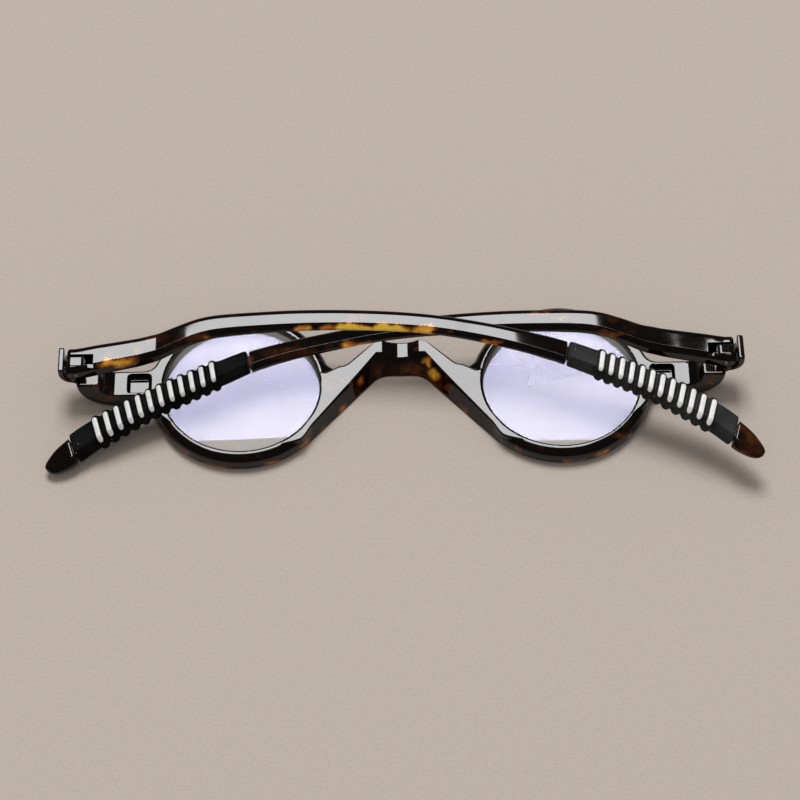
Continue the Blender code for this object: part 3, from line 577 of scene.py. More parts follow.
def rim_ring():
    """A full rim with a well rounded back and a taller top, just below the flat faces."""
    top = FRONT_THICKNESS - RIM_SINK
    back = (RIM_RADIUS - RIM_BACK_ROUND, top - RIM_BACK_ROUND)
    face = (RIM_RADIUS - RIM_FACE_ROUND, RIM_SINK + RIM_FACE_ROUND)
    inner = OPENING_RADIUS - JOIN
    profile = [(inner, RIM_SINK), (inner, top)]
    profile += arc(back, RIM_BACK_ROUND, math.pi / 2, 0, ROUND_STEPS)
    profile += arc(face, RIM_FACE_ROUND, 0, -math.pi / 2, ROUND_STEPS)
    ring = turned("rim_join", profile, RIM_STEPS)
    for vert in ring.data.vertices:
        share = max(0, (vert.co.y - RIM_CREST_START) / (RIM_RADIUS - RIM_CREST_START))
        vert.co.y += RIM_CREST * share ** 2
    return move(ring, RIM_X)


def arch_walls():
    """Height of the nose arch at a distance from the middle, at the face and at the back."""
    touch, _, (corner_x, corner_y) = arch_corner()
    slope = math.tan(ARCH_ANGLE)
    begin = Vector((ARCH_BACK_HALF, ARCH_BACK_TOP))
    bend = Vector(ARCH_BACK_MIDDLE)
    finish = Vector(ARCH_BACK_END)
    shares = [i / WALL_STEPS for i in range(WALL_STEPS + 1)]
    curve = [begin.lerp(bend, t).lerp(bend.lerp(finish, t), t) for t in shares]

    def face(x):
        """The edge of the slab."""
        if x < corner_x:
            return ARCH_TOP
        if x < corner_x + ARCH_RADIUS * math.sin(ARCH_ANGLE):
            return corner_y + math.sqrt(ARCH_RADIUS ** 2 - (x - corner_x) ** 2)
        return touch[1] + (touch[0] - x) * slope

    def back(x):
        """The splayed edge."""
        if x < ARCH_BACK_HALF:
            return ARCH_BACK_TOP
        for near, far in zip(curve, curve[1:]):
            if x <= far.x:
                return near.y + (far.y - near.y) * (x - near.x) / (far.x - near.x)
        return face(x) + finish.y - face(finish.x)

    return face, back


def splay_arch(front):
    """Lean the wall of the nose arch back, and gather the flat above it."""
    face, back = arch_walls()
    for vert in front.data.vertices:
        x, y, z = vert.co
        x = abs(x)
        if x > ARCH_FADE[1] or y > BRIDGE_TOP or y < face(x) - CUT:
            continue
        band = BAND + BAND_GAIN * ramped(x, *BAND_GAIN_X) - BAND_LOSS * ramped(x, *BAND_LOSS_X)
        near = max(0, 1 - max(0, y - face(x)) / band)
        fade = 1 - ramped(x, *ARCH_FADE)
        vert.co.y += (back(x) - face(x)) * min(max(z / FRONT_THICKNESS, 0), 1) * near * fade


def end_piece():
    """The sweep that turns the lug backwards."""
    outer_x = WRAP_X + WRAP_OUTER
    inner_x = outer_x - POST_THICKNESS
    start_x = WRAP_X - JOIN
    outline = [(start_x, 0)]
    outline += arc((WRAP_X, WRAP_OUTER), WRAP_OUTER, -math.pi / 2, 0, SWEEP_STEPS)
    outline += [(outer_x, POST_TOP), (inner_x, POST_TOP)]
    inner = (inner_x - WRAP_INNER, FRONT_THICKNESS + WRAP_INNER)
    outline += arc(inner, WRAP_INNER, 0, -math.pi / 2, BEND_STEPS)
    outline.append((start_x, FRONT_THICKNESS))
    sweep = slab("end_piece_join", outline, LUG_TOP - LUG_BOTTOM, END_EDGE)
    return upright(sweep, (LUG_TOP + LUG_BOTTOM) / 2)


def hinge_guard():
    """The cup and wall outside the temple's squared end."""
    half = TEMPLE_THICKNESS / 2
    hollow = (half - KNUCKLE_CORNER) * math.sqrt(2) + KNUCKLE_CORNER + KNUCKLE_CLEARANCE
    outer_x = PIN.x + hollow + GUARD_THICKNESS
    centre = (outer_x - GUARD_RADIUS, PIN.z + GUARD_RISE)
    floor = half + KNUCKLE_CLEARANCE
    root = POST_TOP - GUARD_THICKNESS
    crown = GUARD_EDGE
    outline = arc(centre, GUARD_RADIUS, -math.pi / 2, 0, BEND_STEPS)
    outline += arc((outer_x - crown, PIN.z + half - crown), crown, 0, math.pi / 2, EDGE_STEPS)
    inner_x = PIN.x + hollow + crown
    outline += arc((inner_x, PIN.z + half - crown), crown, math.pi / 2, math.pi, EDGE_STEPS)
    outline += arc((PIN.x, PIN.z), hollow, 0, -math.asin(floor / hollow), FILLET_STEPS)
    outline += [(PIN.x, PIN.z - floor), (PIN.x - GUARD_THICKNESS, root), (PIN.x, root)]
    return upright(slab("guard_join", outline, GUARD_HEIGHT, GUARD_EDGE * 2), PIN_Y + GUARD_OFFSET)


def hinge_tongue():
    """The flat-topped tongue that stands in the temple's fork."""
    root = POST_TOP - GUARD_THICKNESS - PIN.z
    corner = (TONGUE_HALF - TONGUE_CORNER, TONGUE_TOP - TONGUE_CORNER)
    outline = [(TONGUE_HALF, root)]
    outline += arc(corner, TONGUE_CORNER, 0, math.pi / 2, CORNER_STEPS)
    outline += arc((-corner[0], corner[1]), TONGUE_CORNER, math.pi / 2, math.pi, CORNER_STEPS)
    outline.append((-TONGUE_HALF, root))
    outline = [(PIN.x + x, PIN.z + z) for x, z in outline]
    return upright(slab("tongue_join", outline, TONGUE_THICKNESS, GUARD_EDGE / 2), PIN_Y)


def pocket_cutter():
    """The square recess in the back of the lug."""
    half_x = POCKET_SIZE[0] / 2 - POCKET_CORNER
    half_y = POCKET_SIZE[1] / 2 - POCKET_CORNER
    outline = []
    for turn, (sx, sy) in enumerate(((1, 1), (-1, 1), (-1, -1), (1, -1))):
        start = turn * math.pi / 2
        centre = (sx * half_x, sy * half_y)
        outline += arc(centre, POCKET_CORNER, start, start + math.pi / 2, CORNER_STEPS)
    cutter = slab("pocket_cut", outline, POCKET_SIZE[2] * 2, POCKET_CORNER / 2)
    return move(cutter, POCKET_X, (LUG_TOP + LUG_BOTTOM) / 2, FRONT_THICKNESS)


def opening_cutter():
    """The lens opening, with a rounded edge at the back and a chamfer at the face."""
    flare = OPENING_RADIUS + OPENING_CHAMFER + CUT
    across, deep = OPENING_ROUND
    lip = [(OPENING_RADIUS + across, FRONT_THICKNESS + CUT)]
    for x, z in arc((1, 1), 1, -math.pi / 2, -math.pi, CORNER_STEPS)[::-1]:
        lip.append((OPENING_RADIUS + across * (1 - x), FRONT_THICKNESS - deep * z))
    foot = [(OPENING_RADIUS, OPENING_CHAMFER), (flare, -CUT), (0, -CUT)]
    profile = [(0, FRONT_THICKNESS + CUT)] + lip + foot
    return move(turned("opening_cut", profile, RIM_STEPS), RIM_X)


def saddle_cutter():
    """The shallow hollow across the bridge."""
    radius = (SADDLE_WIDTH ** 2 / 4 + SADDLE_DEPTH ** 2) / (2 * SADDLE_DEPTH)
    saddle = cylinder("saddle_cut", radius, SADDLE_LENGTH, LENS_STEPS)
    return move(saddle, y=BRIDGE_TOP, z=FRONT_THICKNESS - SADDLE_DEPTH + radius)


def build_front(material):
    """Rims, bridge, lugs, end pieces and hinge tongues as one soft-edged moulding."""
    front = slab("front_moulding", web_outline(True), FRONT_THICKNESS, FRONT_EDGE)
    move(front, z=FRONT_THICKNESS / 2)
    body = slab("body_join", web_outline(False), BODY_THICKNESS, BODY_EDGE, inset=RIM_SINK)
    move(body, z=BODY_THICKNESS / 2 + RIM_SINK / 2)
    for tool in (body, rim_ring(), end_piece(), hinge_guard(), hinge_tongue()):
        boolean(front, tool, "UNION")
    hole = move(cylinder("tongue_hole_cut", SCREW_HOLE, TEMPLE_HEIGHT), PIN.x, PIN_Y, PIN.z)
    for tool in (opening_cutter(), pocket_cutter(), saddle_cutter(), hole):
        boolean(front, tool, "DIFFERENCE")
    mirror = front.modifiers.new("Both sides", "MIRROR")
    mirror.use_bisect_axis[0] = True
    mirror.merge_threshold = MERGE
    mirror.bisect_threshold = MERGE / 10
    remesh = front.modifiers.new("Even mesh", "REMESH")
    remesh.mode = "VOXEL"
    remesh.voxel_size = VOXEL
    ease = front.modifiers.new("Tumbled edges", "SMOOTH")
    ease.factor = 0.5
    ease.iterations = SMOOTHING
    settle(front)
    splay_arch(front)
    wall = -PIN.x - TEMPLE_THICKNESS / 2
    for vert in front.data.vertices:
        vert.co.x = max(vert.co.x, wall + (vert.co.x - wall) * LEFT_GUARD_SHARE)
    move(front, y=LENS_Y)
    front.data.shade_smooth()
    dress(front, material)
    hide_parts("front")
    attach(front, "frame_front")


def build_lens(word, side, clear, coated):
    """One lens: a thin meniscus, flatter across than up and down, its outer face coated."""
    half = LENS_EDGE / 2

    def dish(r):
        """Depth of the curve at a radius, against the edge."""
        return math.sqrt(LENS_CURVE ** 2 - r ** 2) - math.sqrt(LENS_CURVE ** 2 - LENS_RADIUS ** 2)

    rings = [LENS_RADIUS * i / LENS_RINGS for i in range(LENS_RINGS + 1)]
    back = [(r, LENS_SEAT + half - dish(r)) for r in rings]
    face = [(r, LENS_SEAT - half - dish(r)) for r in rings]
    profile = back + [(LENS_RADIUS + LENS_BEVEL, LENS_SEAT)] + face[::-1]
    lens = turned("clear_lens_" + word, profile, LENS_STEPS)
    for vert in lens.data.vertices:
        vert.co.z -= vert.co.x ** 2 / 2 * (1 / LENS_CURVE - 1 / LENS_CROSS_CURVE)
    move(lens, side * RIM_X, LENS_Y)
    lens.data.materials.append(clear)
    lens.data.materials.append(coated)
    for polygon in lens.data.polygons:
        polygon.material_index = 1 if polygon.normal.z < 0 else 0
    smooth(lens, LENS_SHARP)
    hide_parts("lens_" + word)
    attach(lens, "frame_front")


def ear_start():
    """Where the ear bend and the grip begin."""
    return REACH - TIP_LENGTH - GRIP_LENGTH


def ear_share(reach):
    """0 at the ear bend's start, 1 at the tip."""
    return max(reach - ear_start(), 0) / (TIP_LENGTH + GRIP_LENGTH)


def temple_at(side, reach):
    """Path height, bow, section height and thickness at a distance from the pin, smoothly."""
    scales = (EAR_DROP, BOW_RISE, TEMPLE_HEIGHT, TEMPLE_THICKNESS)
    rows = PATH_SHARES
    share = min(max(reach / REACH, rows[0][0]), rows[-1][0])
    i = max(k for k in range(len(rows) - 1) if rows[k][0] <= share)
    before, start, end = rows[max(i - 1, 0)], rows[i], rows[i + 1]
    after = rows[min(i + 2, len(rows) - 1)]
    width = end[0] - start[0]
    t = (share - start[0]) / width
    values = []
    for k, scale in enumerate(scales, start=1):
        rise_in = (end[k] - before[k]) / (end[0] - before[0]) * width
        rise_out = (after[k] - start[k]) / (after[0] - start[0]) * width
        value = (2 * t ** 3 - 3 * t ** 2 + 1) * start[k] + (3 * t ** 2 - 2 * t ** 3) * end[k]
        value += (t ** 3 - 2 * t ** 2 + t) * rise_in + (t ** 3 - t ** 2) * rise_out
        values.append(value * scale)
    if side > 0:
        lift = ramped(reach, LOWER_LIFT_START, ear_start())
        values[0] += LOWER_GRIP_LIFT * lift + LOWER_EAR_LIFT * ear_share(reach) ** 3
        grown = min(max(reach / LOWER_RISE_RUN, 0), 1)
        values[1] += LOWER_FACE_RISE * grown * (1 - ramped(reach, *LOWER_RISE_FADE))
    return values


def tilt(reach):
    """How far sections lean: none at the hinge, most at the tip."""
    gain = (GRIP_END_TILT - GRIP_START_TILT) * ear_share(reach)
    return GRIP_START_TILT * eased(reach / ear_start()) + gain


def lower_twist(share):
    """How far the lower temple's outer face turns between the crossing and its grip."""
    begin, full, ebb, end = LOWER_TWIST_SHARES
    return LOWER_TWIST * ramped(share, begin, full) * (1 - ramped(share, ebb, end))


def spot(side, reach, up, out):
    """A point of the section at a reach, leaning across and back, in the pin's own frame."""
    path, bow, _, _ = temple_at(side, reach)
    lean = tilt(reach)
    if side > 0:
        twist = lower_twist(reach / REACH)
        cos, sin = math.cos(twist), math.sin(twist)
        up, out = up * cos + out * sin, out * cos - up * sin
    behind = (TEMPLE_THICKNESS / 2 - out) * BACK_TILT_SHARE
    along = reach + (up - behind) * math.sin(lean)
    return (-side * along, path + up * math.cos(lean), bow + out)


def section(
    side, reach, height, thickness, rounding, soft=ARM_SOFT, rise=0.0, top=(TOP_EDGE, TOP_EDGE)
):
    """One closed section of the temple across its path, with softened corners."""
    half_h, half_t = height / 2, thickness / 2
    largest = min(height * EDGE_HEIGHT_SHARE, thickness * EDGE_THICKNESS_SHARE)
    chamfer = min(CHAMFER, largest)
    rounding = min(rounding, largest)
    soft = min(soft, chamfer * SOFT_CHAMFER_SHARE)
    across, deep = min(top[0], height * EDGE_HEIGHT_SHARE), min(top[1], largest)
    loop = []
    turn = CHAMFER_TURN
    slide = soft * math.tan(turn / 2)
    bevel_top = (-half_h + chamfer + slide, half_t - soft)
    bevel_foot = (-half_h + soft, half_t - chamfer - slide)
    loop += arc(bevel_top, soft, math.pi / 2, math.pi / 2 + turn, 3)
    loop += arc(bevel_foot, soft, math.pi - turn, math.pi, 3)
    loop += arc((-half_h + rounding, -half_t + rounding), rounding, math.pi, math.pi * 1.5, 6)
    loop += arc((half_h - rounding, -half_t + rounding), rounding, -math.pi / 2, 0, 6)
    for x, y in arc((0, 0), 1, 0, math.pi / 2, CORNER_STEPS):
        loop.append((half_h - across * (1 - x), half_t - deep * (1 - y)))
    return [spot(side, reach, up, out + rise) for up, out in loop]


def grip_place(side, distance):
    """Reach of a place on the sleeve; the lower one is pulled longer and the upper one shorter."""
    return REACH - TIP_LENGTH - (GRIP_LENGTH - distance) * (1 + side * GRIP_STRETCH_SHARE)


def seated(obj, side):
    """Put a piece drawn about the pin in its folded place."""
    turn = Matrix.Rotation(-FOLD_LEAN if side > 0 else 0, 4, "Y")
    pin = PINS["temple_right" if side > 0 else "temple_left"]
    obj.data.transform(Matrix.Translation(pin) @ turn)
    return obj


def knuckle_sections(side):
    """The temple's end behind the pin: round on the inside, a tight corner on the outside."""
    sections = []
    half = TEMPLE_THICKNESS / 2
    inset = half - KNUCKLE_CORNER
    for turn in KNUCKLE_TURNS:
        back = half * math.sin(math.radians(turn))
        low = -half * math.cos(math.radians(turn))
        high = half
        if back > inset:
            high = inset + math.sqrt(KNUCKLE_CORNER ** 2 - (back - inset) ** 2)
        height = temple_at(side, -back)[2]
        size = (height, high - low, INNER_EDGE)
        sections.append(section(side, -back, *size, rise=(high + low) / 2, top=TEMPLE_TOP_EDGE))
    return sections


def arm_stations(side):
    """Places along the temple, each with its share of the step down to the core in the grip."""
    start, end = grip_place(side, 0), grip_place(side, GRIP_LENGTH)
    neck = start - CORE_STEP
    stations = [(neck * i / ARM_STEPS, 0) for i in range(ARM_STEPS + 1)]
    for i in range(1, NECK_STEPS + 1):
        stations.append((start - CORE_STEP * (1 - i / NECK_STEPS), eased(i / NECK_STEPS)))
    for i in range(1, CORE_STEPS + 1):
        stations.append((start + (end - start) * i / CORE_STEPS, 1))
    for i in range(1, EDGE_STEPS + 1):
        stations.append((end + GRIP_CLEARANCE * i / EDGE_STEPS, 1 - eased(i / EDGE_STEPS)))
    tip = REACH - end - GRIP_CLEARANCE
    for i in range(1, TIP_STEPS + 1):
        stations.append((REACH - tip * (1 - i / TIP_STEPS) ** TIP_CROWDING, 0))
    return stations + [(REACH + TIP_DOME * share, 0) for share in TIP_DOME_SHARES]


def arm_sections(side):
    """The temple from its pin to its domed tip."""
    sections = []
    end = grip_place(side, GRIP_LENGTH)
    blunt = REACH * TIP_BLUNT_SHARE
    _, _, full_height, full_thickness = temple_at(side, blunt)
    for reach, share in arm_stations(side):
        _, _, height, thickness = temple_at(side, reach)
        if reach > blunt:
            left = (REACH + TIP_DOME - reach) / (REACH + TIP_DOME - blunt)
            shrink = math.sqrt(1 - (1 - left) ** 2)
            height, thickness = full_height * shrink, full_thickness * shrink ** TIP_FLATNESS
        shrink = 1 - (1 - CORE_SHARE) * share
        soft = TIP_SOFT if reach > end else ARM_SOFT
        size = (height * shrink, thickness * shrink, INNER_EDGE)
        sections.append(section(side, reach, *size, soft=soft, top=TEMPLE_TOP_EDGE))
    return sections


def build_temple(word, side, material):
    """A temple with a forked end, a slim core inside the grip and a domed paddle tip."""
    temple = loft("tortoise_temple_" + word, knuckle_sections(side) + arm_sections(side))
    behind = TEMPLE_THICKNESS / 2 + CUT
    size = (SLOT_LENGTH + behind, TONGUE_THICKNESS + TONGUE_CLEARANCE * 2, TEMPLE_THICKNESS * 2)
    fork = block("fork_cut", size, (side * (behind - SLOT_LENGTH) / 2, 0, 0))
    hole = cylinder("pin_hole_cut", SCREW_HOLE, TEMPLE_HEIGHT * 2)
    seat = cylinder("screw_seat_cut", SCREW_SEAT, TEMPLE_HEIGHT)
    move(seat, y=TEMPLE_HEIGHT - SCREW_SEAT_DEPTH)
    for tool in (fork, hole, seat):
        boolean(temple, tool, "DIFFERENCE")
    settle(temple)
    seated(temple, side)
    dress(temple, material)
    smooth(temple, TEMPLE_SHARP)
    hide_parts("temple_" + word)
    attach(temple, "temple_" + word)


def rib_stations(side):
    """Middle of each rib along the temple."""
    step = (GRIP_LENGTH - GRIP_PLAIN_START - GRIP_PLAIN_END) / (GRIP_RIBS - 1)
    return [grip_place(side, GRIP_PLAIN_START + step * i) for i in range(GRIP_RIBS)]


def rib_rise(side, reach):
    """Height of the ribs' soft crests above the sleeve at a place along it."""
    nearest = min(abs(reach - middle) for middle in rib_stations(side))
    share = max(0, 1 - nearest / (RIB_WIDTH * RIB_FOOT_SHARE))
    return RIB_RISE * min(1, share ** RIB_FLANK * RIB_CROWN)


def build_grip(word, side, material):
    """The soft sleeve with rounded ribs and rolled ends."""
    start = grip_place(side, 0) + GRIP_CLEARANCE
    end = grip_place(side, GRIP_LENGTH) - GRIP_CLEARANCE
    sections = []
    for i in range(GRIP_STEPS + 1):
        reach = start + (end - start) * i / GRIP_STEPS
        _, _, height, thickness = temple_at(side, reach)
        edge = max(0, 1 - min(reach - start, end - reach) / GRIP_ROLL)
        drawn = GRIP_ROLL * (1 - math.sqrt(max(0, 1 - edge ** 2)))
        rise = rib_rise(side, reach) - drawn
        size = (height + rise * 2, thickness + GRIP_WALL * 2 + rise * 2)
        sections.append(section(side, reach, *size, GRIP_EDGE, soft=GRIP_SOFT))
    grip = seated(loft("soft_grip_" + word, sections), side)
    dress(grip, material)
    smooth(grip, GRIP_SHARP)
    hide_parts("grip_sleeve_" + word)
    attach(grip, "temple_" + word)


def stripe_track(side, reach, lift, foot):
    """Down the outer side of a rib, from below its top edge to its lower bevel, lifted off it."""
    _, _, height, thickness = temple_at(side, reach)
    half_h = height / 2 + RIB_RISE
    half_t = thickness / 2 + GRIP_WALL + RIB_RISE
    low = -half_h + CHAMFER
    top = half_h - TOP_EDGE - STRIPE_DROP
    span = low + GRIP_SOFT - top
    points = [(top + span * share, half_t + lift) for share in STRIPE_DOWN]
    corner = low + GRIP_SOFT * math.tan(CHAMFER_TURN / 2)
    radius = GRIP_SOFT + lift
    for turn in map(math.radians, STRIPE_BEND):
        out = half_t - GRIP_SOFT + radius * math.cos(turn)
        points.append((corner - radius * math.sin(turn), out))
    up, out = points[-1]
    drops = [CHAMFER * foot * share for share in STRIPE_FOOT]
    return points + [(up - drop, out - drop) for drop in drops]


def build_stripe(word, side, count, reach, material):
    """One white inlay with round ends, down its rib's outer side and over the lower bevel."""
    first, last = STRIPE_FOOT_SHARES
    foot = first + (last - first) * count / GRIP_RIBS
    track = stripe_track(side, reach, STRIPE_GAP, foot)
    lengths = [0.0]
    for (u0, o0), (u1, o1) in zip(track, track[1:]):
        lengths.append(lengths[-1] + math.hypot(u1 - u0, o1 - o0))
    widths = []
    for length in lengths:
        above = (length + STRIPE_END) / STRIPE_TOP_ROUND
        below = (lengths[-1] - length + STRIPE_END) / STRIPE_FOOT_ROUND
        widths.append(math.sqrt(1 - (1 - min(above, below, 1)) ** 2))
    far = STRIPE_GAP + STRIPE_THICKNESS
    mid = STRIPE_GAP + STRIPE_THICKNESS * STRIPE_SIDE_SHARE
    ring = [(-0.5, STRIPE_GAP), (0.5, STRIPE_GAP), (0.5, mid)]
    ring += [(STRIPE_CROWN_HALF, far), (-STRIPE_CROWN_HALF, far), (-0.5, mid)]
    loops = [[] for _ in widths]
    for across, lift in ring:
        for i, width in enumerate(widths):
            place = reach + across * STRIPE_WIDTH * width
            loops[i].append(spot(side, place, *stripe_track(side, place, lift, foot)[i]))
    stripe = seated(loft(f"white_stripe_{word}_{count:02d}", loops), side)
    dress(stripe, material)
    smooth(stripe, STRIPE_SHARP)
    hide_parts(f"grip_stripe_{word}_{count:02d}")
    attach(stripe, "temple_" + word)


class Graph:
    """Short calls for building a node material."""

    def __init__(self, name):
        self.material = bpy.data.materials.new(name)
        self.material.use_nodes = True
        self.tree = self.material.node_tree
        self.shader = self.tree.nodes["Principled BSDF"]
        self.place = self.tree.nodes.new("ShaderNodeTexCoord").outputs["Object"]

    def feed(self, socket, value):
        """Link a socket, or set it."""
        if isinstance(value, bpy.types.NodeSocket):
            self.tree.links.new(value, socket)
        else:
            socket.default_value = value

    def fill(self, node, **values):
        """Link or set a node's inputs by name, with _ for a space."""
        for name, value in values.items():
            self.feed(node.inputs[name.replace("_", " ")], value)

    def set(self, **values):
        """Link or set the main shader's inputs."""
        self.fill(self.shader, **values)

    def math(self, operation, *values, clamp=False):
        """A Math node."""
        node = self.tree.nodes.new("ShaderNodeMath")
        node.operation = operation
        node.use_clamp = clamp
        for socket, value in zip(node.inputs, values):
            self.feed(socket, value)
        return node.outputs[0]

    def vector(self, operation, *values):
        """A Vector Math node."""
        node = self.tree.nodes.new("ShaderNodeVectorMath")
        node.operation = operation
        for socket, value in zip(node.inputs, values):
            self.feed(socket, value)
        return node.outputs["Value" if operation in ("LENGTH", "DOT_PRODUCT") else "Vector"]

    def noise(self, place, scale, detail, roughness=0.5, output="Fac"):
        """A Noise node."""
        node = self.tree.nodes.new("ShaderNodeTexNoise")
        self.fill(node, Vector=place, Scale=scale, Detail=detail, Roughness=roughness)
        return node.outputs[output]

    def steps(self, value, low, high, out_low=0.0, out_high=1.0, kind="SMOOTHSTEP"):
        """A Map Range node."""
        node = self.tree.nodes.new("ShaderNodeMapRange")
        node.interpolation_type = kind
        self.fill(node, Value=value, From_Min=low, From_Max=high, To_Min=out_low, To_Max=out_high)
        return node.outputs[0]

    def ramp(self, value, stops):
        """A Color Ramp node."""
        node = self.tree.nodes.new("ShaderNodeValToRGB")
        self.feed(node.inputs[0], value)
        elements = node.color_ramp.elements
        while len(elements) < len(stops):
            elements.new(0.5)
        for element, (place, colour) in zip(elements, stops):
            element.position = place
            element.color = (*colour, 1.0)
        return node.outputs[0]

    def bump(self, height, strength, distance):
        """Bump on the main shader."""
        node = self.tree.nodes.new("ShaderNodeBump")
        self.fill(node, Strength=strength, Distance=distance, Height=height)
        self.set(Normal=node.outputs[0])


def tortoise(name, patches, cloudy):
    """Polished tortoiseshell plastic: near black, with warm clouds and glowing amber patches."""
    graph = Graph(name)
    drift = graph.noise(graph.place, DRIFT_GRAIN, 3.0, 0.55, "Color")
    drift = graph.vector("SUBTRACT", drift, (0.5, 0.5, 0.5))
    drift = graph.vector("MULTIPLY", drift, (DRIFT, DRIFT, DRIFT))
    warped = graph.vector("ADD", graph.place, drift)
    glow = 0.0
    for centre, half, strength in patches:
        away = graph.vector("SUBTRACT", warped, tuple(v / 1000 for v in centre))
        away = graph.vector("MULTIPLY", away, tuple(1000 / v for v in half))
        square = graph.vector("MULTIPLY", away, away)
        distance = graph.vector("DOT_PRODUCT", square, square)
        inside = graph.steps(distance, 1.8, 0.0, 0.0, strength, "LINEAR")
        glow = graph.math("MAXIMUM", glow, inside)
    streaks = graph.vector("MULTIPLY", warped, (0.45, 1.0, 1.0))
    clouds = graph.steps(graph.noise(streaks, CLOUD_GRAIN, 4.0, 0.6), 0.44, 0.70, 0.0, cloudy)
    across = graph.vector("MULTIPLY", warped, (1.0, 0.7, 0.7))
    veins = graph.noise(across, VEIN_GRAIN, 2.0)
    veins = graph.steps(veins, 0.34, 0.68, -0.14, 0.12, "LINEAR")
    amount = graph.math("ADD", graph.math("MAXIMUM", glow, clouds), veins, clamp=True)
    dark = ((0.0, NIGHT), (0.20, NIGHT), (0.38, BROWN))
    colour = graph.ramp(amount, dark + ((0.58, RUST), (0.78, AMBER), (1.0, HONEY)))
    smudge = graph.steps(graph.noise(graph.place, SMUDGE_GRAIN, 3.0), 0.35, 0.70, 0.03, 0.07)
    graph.set(Base_Color=colour, Roughness=smudge, IOR=1.5)
    graph.set(Subsurface_Weight=graph.steps(amount, 0.30, 0.62, 0.0, 0.85))
    graph.set(Subsurface_Radius=(1.0, 0.42, 0.08), Subsurface_Scale=0.0022)
    graph.bump(graph.noise(graph.place, WAVE_GRAIN, 1.0), 0.02, 0.0004)
    return graph.material


def soft_grip(name, black, worn, ior):
    """Matt black silicone with a fine grain and a little dust."""
    graph = Graph(name)
    grain = graph.noise(graph.place, RUBBER_GRAIN, 3.0, 0.6)
    dust = graph.steps(graph.noise(graph.place, DUST_GRAIN, 1.0, 0.4), 0.77, 0.80, 0.0, 0.4)
    wear = graph.steps(graph.noise(graph.place, WEAR_GRAIN, 3.0), 0.3, 0.7, 0.0, 0.03)
    stops = ((0.0, black), (0.03, worn), (1.0, DUST))
    shade = graph.ramp(graph.math("ADD", dust, wear), stops)
    graph.set(Base_Color=shade, Roughness=graph.steps(grain, 0.3, 0.7, 0.44, 0.58), IOR=ior)
    graph.bump(grain, 0.25, 0.00006)
    return graph.material


def white_paint(name, white):
    """Satin white inlay with a little grey wear."""
    graph = Graph(name)
    worn = graph.noise(graph.place, PAINT_GRAIN, 4.0, 0.6)
    colour = graph.ramp(worn, ((0.30, tuple(v * 0.84 for v in white)), (0.52, white)))
    graph.set(Base_Color=colour, Roughness=graph.steps(worn, 0.3, 0.7, 0.42, 0.28), IOR=1.45)
    graph.bump(worn, 0.15, 0.00005)
    return graph.material


def lens_surface(name, colour, mirror, straight, grazing, fade):
    """One see-through face of a lens, its film a mirror or a haze that fades towards the top, a
    painted change in the reflection.
    """
    graph = Graph(name)
    fresnel = graph.tree.nodes.new("ShaderNodeLayerWeight")
    fresnel.inputs["Blend"].default_value = 0.5
    facing = graph.math("POWER", fresnel.outputs["Facing"], 4.0)
    smear = graph.steps(graph.noise(graph.place, SMEAR_GRAIN, 2.0), 0.3, 0.7, 0.95, 1.06)
    split = graph.tree.nodes.new("ShaderNodeSeparateXYZ")
    graph.feed(split.inputs[0], graph.place)
    # Painted: the film thins towards the top, so the lens looks bluer and darker up there
    painted_upward_fade = graph.steps(split.outputs["Y"], *PAINTED_FILM_FADE_Y, 1.0, fade)
    film = graph.steps(facing, 0.0, 1.0, straight, grazing, "LINEAR")
    alpha = graph.math("MULTIPLY", film, graph.math("MULTIPLY", smear, painted_upward_fade))
    graph.set(Base_Color=(*colour, 1.0), Alpha=alpha)
    if mirror:
        graph.set(Metallic=1.0, Roughness=0.012, Specular_IOR_Level=0.5)
    else:
        graph.set(Metallic=0.0, Roughness=0.6, Specular_IOR_Level=0.0)
    return graph.material


def screw_steel():
    """Turned steel."""
    graph = Graph("screw_steel")
    lines = graph.vector("MULTIPLY", graph.place, (1.0, 9.0, 1.0))
    lines = graph.noise(lines, STEEL_GRAIN, 2.0)
    rough = graph.steps(lines, 0.3, 0.7, 0.20, 0.34)
    graph.set(Base_Color=(*STEEL, 1.0), Metallic=1.0, Roughness=rough)
    graph.bump(lines, 0.1, 0.00003)
    return graph.material


def build_floor():
    """A plain pale sheet with a fine tooth."""
    bm = bmesh.new()
    bmesh.ops.create_grid(bm, x_segments=1, y_segments=1, size=FLOOR_HALF)
    floor = mesh_object("floor", bm)
    move(floor, z=cad_box[0].z)
    graph = Graph("pale_paper")
    fibre = graph.noise(graph.place, PAPER_GRAIN, 4.0, 0.7)
    darker = tuple(v * 0.93 for v in FLOOR_COLOUR)
    paler = tuple(v * 1.07 for v in FLOOR_COLOUR)
    colour = graph.ramp(fibre, ((0.30, darker), (0.70, paler)))
    graph.set(Base_Color=colour, Roughness=0.85, IOR=1.3)
    graph.bump(fibre, 0.35, 0.0002)
    dress(floor, graph.material)


def direction(azimuth, elevation):
    """A unit vector: azimuth from +Y towards +X, elevation above the floor."""
    flat = math.cos(elevation)
    return Vector((math.sin(azimuth) * flat, math.cos(azimuth) * flat, math.sin(elevation)))


def build_soft_box():
    """A flat soft light above and behind the glasses, which faces them."""
    light = bpy.data.lights.new("soft_box", "AREA")
    light.shape = "RECTANGLE"
    light.size, light.size_y = BOX_SIZE
    light.energy = BOX_RADIANCE * BOX_SIZE[0] * BOX_SIZE[1] * math.pi
    lamp = placed("soft_box", light)
    away = direction(BOX_AZIMUTH, BOX_ELEVATION)
    lamp.location = Vector((0, LENS_Y, 0)) + away * BOX_DISTANCE
    lamp.rotation_mode = "QUATERNION"
    lamp.rotation_quaternion = away.to_track_quat("Z", "Y")


